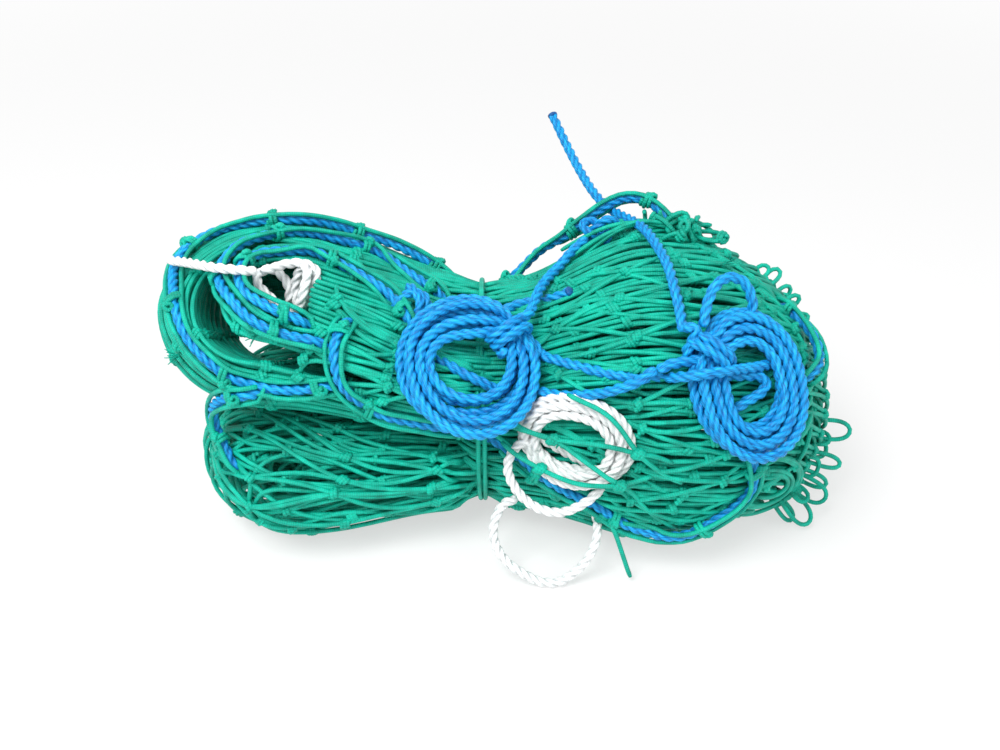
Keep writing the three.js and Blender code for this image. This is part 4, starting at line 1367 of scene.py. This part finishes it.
# ---------------------------------------------------------------- lashing of the border ropes
# A twine lies on each side of the blue border rope, and a lashing of twine binds all three once to each side
# of a mesh, with a small knot beside it.
lashing_lines, lashing_wraps = [], []
for name, line in border_lines.items():
    along = np.gradient(line, axis=0)
    along /= np.linalg.norm(along, axis=1, keepdims=True)
    outward = line - np.array([0, 4, 70])
    outward[:, 0] *= 0.4
    outward -= along * (outward * along).sum(axis=1, keepdims=True)
    outward /= np.maximum(np.linalg.norm(outward, axis=1, keepdims=True), 1e-6)
    beside = np.cross(along, outward)
    gone = np.arange(len(line)) * ROPE_STEP
    for side in (1, -1):
        lean = 0.25 + 0.5 * np.sin(gone / 37.0 + side) + 0.25 * np.sin(gone / 17.0 + 2 * side)
        reach = ROPE_ROOM + 0.7 * np.abs(np.sin(math.pi * gone / MESH_SIDE))
        offset = side * np.cos(lean)[:, None] * beside + np.sin(lean)[:, None] * outward
        beside_line = line + offset * reach[:, None]
        beside_line[:, 2] = np.maximum(beside_line[:, 2], TWINE / 2)
        lashing_lines.append(beside_line)
    first = 14 if len(line) > 40 else 8
    for i in range(first, len(line) - 8, int(MESH_SIDE / ROPE_STEP)):
        lashing_wraps.append(
            knot(line[i] + outward[i] * 0.3, along[i], beside[i], reach=(5.2, 4.0), length=5.2, turns=2.3)
        )
        side = math.sin(i * 1.7)
        spot = line[i] + outward[i] * 3.2 + beside[i] * side * 2.6 + along[i] * side * 3
        slant = along[i] + beside[i] * side
        lashing_wraps.append(knot(spot, slant, outward[i], reach=(1.9, 2.0), length=3.6))
twine_piece("border_lashing_twine", lashing_lines)
knot_piece("border_lashings", lashing_wraps)

# ---------------------------------------------------------------- blue knots
# The left hank's lead ends in a knot on the border rope, and the inner fold's border rope in loops beside the
# hank. Both are pulled tight, so their rope is a little thinner.


def trefoil(centre, right, up, size):
    """A knot's route round a centre: three lobes that pass over and under each other."""
    t = np.linspace(0.2, 0.2 + 2 * math.pi, 60)[:, None]
    sideways = right * size[0] * (np.sin(t) + 2 * np.sin(2 * t)) / 3
    upwards = up * size[1] * (np.cos(t) - 2 * np.cos(2 * t)) / 3
    return centre + sideways + upwards - np.cross(right, up) * size[2] * np.sin(3 * t)


hitch_route = trefoil(np.array([57.0, 41, 147.5]), np.array([1.0, 0, 0]), EYE_UP, (10.5, 9.0, 3.4))
hitch, _ = rope_piece("border_hitch_turns", hitch_route, (BLUE_ROPE * 0.92, blue_yarn, "blue_rope"))
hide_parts("border_hitch")

loop_spots = np.array([
    (-57, 38, 2), (-53, 31, 4), (-46, 26.5, 5), (-40.5, 30, 6), (-38.5, 36, 6), (-41, 42.5, 5),
    (-47, 44, 4.5), (-52.5, 41, 5), (-53.5, 35, 7), (-49, 30.5, 9), (-43.5, 33, 10), (-42.5, 39, 8),
    (-46, 45.5, 4), (-50, 48, 1),
])
loop_out = eye_surface(high_left_lobe, loop_spots[:, 0], loop_spots[:, 1]).mean()
loop_route = from_eye(loop_spots[:, 0], loop_spots[:, 1], loop_out + loop_spots[:, 2])
rope_piece("fold_rope_loops", loop_route, (BLUE_ROPE * 0.95, blue_yarn, "blue_rope"))

# ---------------------------------------------------------------- net over the white coil
# A few meshes of the right fold lie over the white coil and hold it. Routes are x and rise up the slope.
over_routes = [
    [(4, -18), (16, -25), (30, -30), (50, -33), (71, -38), (88, -45)],
    [(-4, -21), (14, -25), (30, -30), (46, -42), (64, -54), (78, -58)],
    [(38, -5), (56, -17), (71, -38), (82, -50), (94, -56)],
    [(2, -34), (24, -45), (44, -53), (64, -54), (78, -52)],
    [(0, -40), (17, -56), (36, -68), (55, -77), (88, -84)],
    [(58, -50), (64, -54), (76, -70), (96, -84)],
]
COIL_REACH = (33, 27)
COIL_TOP = 7.4
over_knots = [(30, -30), (71, -38), (64, -54), (24, -45), (17, -56), (55, -77)]


def over_coil(spots):
    """Points just over the right fold, lifted over the white coil where they cross it."""
    spots = np.atleast_2d(spots)
    p = from_eye(spots[:, 0], spots[:, 1], eye_surface(right_lobe, spots[:, 0], spots[:, 1]) + 1.2)
    local, past = beyond(white_coil, COIL_REACH, p)
    lift = np.maximum(COIL_TOP - local[:, 2], 0) * smooth(1 - past / 0.35)
    p = p + white_coil.out * lift[:, None]
    p[:, 2] = np.maximum(p[:, 2], TWINE / 2 + 0.5)
    return p


over_lines = []
for route in over_routes:
    flat = smooth_line([(x, rise, 0) for x, rise in route], 4.0)
    lifted = over_coil(flat[:, :2])
    lifted[1:-1] = 0.25 * lifted[:-2] + 0.5 * lifted[1:-1] + 0.25 * lifted[2:]
    over_lines.append(lifted)
twine_piece("front_meshes", over_lines, step=3.5)
front_knots = []
for spot in over_knots:
    centre = over_coil(np.array(spot))[0]
    for k in range(2):
        lean = np.array([1.0, 0.2 * k, -0.5 + 0.5 * k])
        reach = (2.5 - 0.3 * k, 2.2)
        front_knots.append(knot(centre, lean, EYE_UP, reach=reach, length=5 - k, turns=2.7, start=k))
knot_piece("front_mesh_knots", front_knots)

# ---------------------------------------------------------------- end loops and top bunch
# The net's end meshes hang out as loops at the far right, and a bunch of them is gathered on top.
edge_curve = smooth_line(
    [
        (150, 64, 30), (166, 46, 30), (176, 26, 28), (182, 4, 26), (185, -20, 26), (183, -45, 28),
        (175, -66, 32), (160, -80, 36),
    ],
    1.0,
)
end_loops, end_knots = [], []
for i, share in enumerate(np.linspace(0.03, 0.97, 27)):
    last = len(edge_curve) - 1
    number = int(share * last)
    at = edge_curve[number]
    ahead = edge_curve[min(number + 3, last)] - at
    ahead = ahead[:2] / max(np.linalg.norm(ahead[:2]), 1e-6)
    outward = np.array([-ahead[1], ahead[0]])
    if outward[0] < 0 and share < 0.9:
        outward = -outward
    low_end = share > 0.6
    reach = (17 + 7 * math.sin(i * 2.3)) if low_end else 10 + 4 * math.sin(i * 2.3)
    wide = (7.0 if low_end else 4.4) + 2.0 * math.sin(i * 3.1)
    t = np.linspace(0, 1, 20)
    out = np.sin(math.pi * t) ** 0.75 * reach - 7
    side = np.cos(math.pi * t) * wide * (0.55 + 0.45 * np.sin(math.pi * t))
    spot = at[:2] + outward * out[:, None] + ahead * side[:, None]
    depth = at[2] - 8 + 5 * math.sin(i * 1.9) + 3.5 * np.cos(math.pi * t + i)
    loop = from_eye(spot[:, 0], spot[:, 1], depth)
    loop[:, 2] = np.maximum(loop[:, 2], TWINE / 2)
    end_loops.append(loop)
    base = from_eye(*(at[:2] - outward * 5.5), at[2] - 8 + 5 * math.sin(i * 1.9))
    base[2] = max(base[2], 4)
    way = np.array([outward[0], 0, outward[1]])
    end_knots.append(knot(base, way, EYE_UP, reach=(3.0, 2.6), turns=2.6, start=i))

# Four meshes hang in each other's loops at the lower right, and share a middle.
hub = np.array([146.0, -60])
for k in range(4):
    t = np.linspace(-2.1 + 0.2 * math.sin(5 * k), 1.75 + 0.2 * math.sin(3 * k), 26)
    size = (12 + 5.2 * k, 7 + 3.6 * k)
    x = hub[0] + size[0] * np.cos(t) - 1.5 * k
    rise = hub[1] + size[1] * np.sin(t) + 1.5 * math.sin(4 * k)
    out = np.maximum(eye_surface(right_lobe, x, rise) + 1.8 + 0.5 * k, 26)
    for _ in range(3):
        out = np.convolve(np.pad(out, 2, "edge"), np.ones(5) / 5, "valid")
    loop = from_eye(x, rise, out)
    loop[:, 2] = np.maximum(loop[:, 2], TWINE / 2)
    end_loops.append(loop)
twine_piece("end_loop_strands", end_loops, step=2.5)
knot_piece("end_loop_knots", end_knots)

# The twine's cut ends have frayed to short tufts of yarn.
YARN = 0.55
tufts = []
for x, rise, sideways in ((-167, 10, -0.9), (-122, 21, -0.3), (-60, 2, 0.8), (120, 60, 0.9), (168, 8, 1.2)):
    lobe = high_left_lobe if x < 0 else right_lobe
    root_at = from_eye(x, rise, float(eye_surface(lobe, x, rise)) + 1.2)
    for k in range(11):
        way = np.array([sideways, 0, 0]) + EYE_UP * 0.5 * math.sin(k * 1.9)
        way += EYE_OUT * (0.45 + 0.3 * math.sin(k * 2.7))
        way /= np.linalg.norm(way)
        t = np.linspace(0, 1, 8)[:, None]
        curl = EYE_UP * 1.6 * math.sin(k * 4.1) + EYE_OUT * 1.3 * math.cos(k * 3.3)
        tufts.append(root_at + way * (6.5 + 2 * math.sin(k)) * t + curl * t**2)
twine_piece("frayed_tufts", tufts, diameter=YARN, sides=5, step=1.2)

# The bunch on top: small loops every way round, and nine strands that run from it down the fold.
bunch_loops, bunch_knots = [], []
bunch_middle = np.array([100.0, 38, 149])
for i in range(26):
    centre = bunch_middle + rng.normal(size=3) * np.array([9.0, 8.0, 3.2])
    axis = rng.normal(size=3) * np.array([1.0, 1, 0.6])
    axis /= np.linalg.norm(axis)
    other = np.cross(axis, rng.normal(size=3))
    other /= np.linalg.norm(other)
    size = rng.uniform(5, 10)
    t = np.linspace(0, rng.uniform(3.8, 5.9), 20)[:, None]
    bunch_loops.append(centre + axis * size * np.cos(t) * 1.25 + other * size * 0.7 * np.sin(t))
    if i % 2:
        bunch_knots.append(knot(centre + axis * size, axis + other * 0.2, other, turns=2.6, start=i))
for i in range(9):
    t = np.linspace(0, 1, 24)[:, None]
    far = np.array([-52 + 9 * math.sin(i * 2.2), -10 + 5.5 * i - 16, -14 - 1.5 * abs(i - 4)])
    near = bunch_middle + np.array([-4, 3 * math.sin(i), 5 - abs(i - 4)])
    bunch_loops.append(near + far * t + np.array([0, 0, 9]) * np.sin(math.pi * t))
bunch = twine_piece("top_bunch_loops", bunch_loops, step=2.5)
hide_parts("net_top_bunch")
knot_piece("top_bunch_knots", bunch_knots)

# ---------------------------------------------------------------- floor and light
# A plain white floor and two soft lamps. The floor looks white to the camera and keeps the bundle's shadow,
# and it glows more the further it is from the bundle.
floor_mesh = bpy.data.meshes.new("floor")
floor_mesh.from_pydata([(-4, -4, 0), (4, -4, 0), (4, 4, 0), (-4, 4, 0)], [], [(0, 1, 2, 3)])
floor = bpy.data.objects.new("floor", floor_mesh)
bpy.context.scene.collection.objects.link(floor)


def seen(start):
    """1 where the camera looks, straight or by a reflection, and 0 for light."""
    path = start.node("ShaderNodeLightPath")
    glossy = Value(path.tree, path.socket.node.outputs["Is Glossy Ray"])
    through = Value(path.tree, path.socket.node.outputs["Is Transmission Ray"])
    return (path + glossy + through).clamped()


floor_material = bpy.data.materials.new("white floor")
floor_material.use_nodes = True
floor_tree = floor_material.node_tree
floor_tree.nodes.remove(floor_tree.nodes["Principled BSDF"])
floor_start = Value(floor_tree, None)
paper = floor_start.node("ShaderNodeBsdfDiffuse", Color=(0.86, 0.86, 0.86, 1))
glow = floor_start.node("ShaderNodeEmission", Color=(1, 1, 1, 1), Strength=1.0)
place = floor_start.node("ShaderNodeNewGeometry")
away = floor_start.node("ShaderNodeVectorMath", {"operation": "LENGTH"}, output=1, _0=place)
plain = 0.6 + ((away - 0.4) * 1.0).clamped() * 0.4
lit = floor_start.node("ShaderNodeMixShader", _0=seen(floor_start) * plain, _1=paper, _2=glow)
floor_tree.links.new(lit.socket, floor_tree.nodes["Material Output"].inputs["Surface"])
floor_mesh.materials.append(floor_material)

world = bpy.data.worlds.new("studio")
bpy.context.scene.world = world
world.use_nodes = True
world_start = Value(world.node_tree, None)
soft = world_start.node("ShaderNodeBackground", Color=(1, 1, 1, 1), Strength=0.62)
white = world_start.node("ShaderNodeBackground", Color=(1, 1, 1, 1), Strength=1.0)
both = world_start.node("ShaderNodeMixShader", _0=seen(world_start), _1=soft, _2=white)
world.node_tree.links.new(both.socket, world.node_tree.nodes["World Output"].inputs["Surface"])

for name, spot, size, power in (
    ("key lamp", (-0.45, -0.55, 1.15), 0.7, 17.0), ("fill lamp", (0.9, -0.7, 0.7), 0.8, 4.0),
):
    lamp = bpy.data.objects.new(name, bpy.data.lights.new(name, "AREA"))
    lamp.data.size = size
    lamp.data.energy = power
    lamp.location = spot
    aim = np.array([0, 0, 0.06]) - np.array(spot)
    lamp.rotation_euler = (
        math.atan2(math.hypot(aim[0], aim[1]), -aim[2]), 0, math.atan2(aim[1], aim[0]) - math.pi / 2,
    )
    bpy.context.scene.collection.objects.link(lamp)
bpy.context.scene.view_settings.view_transform = "Standard"
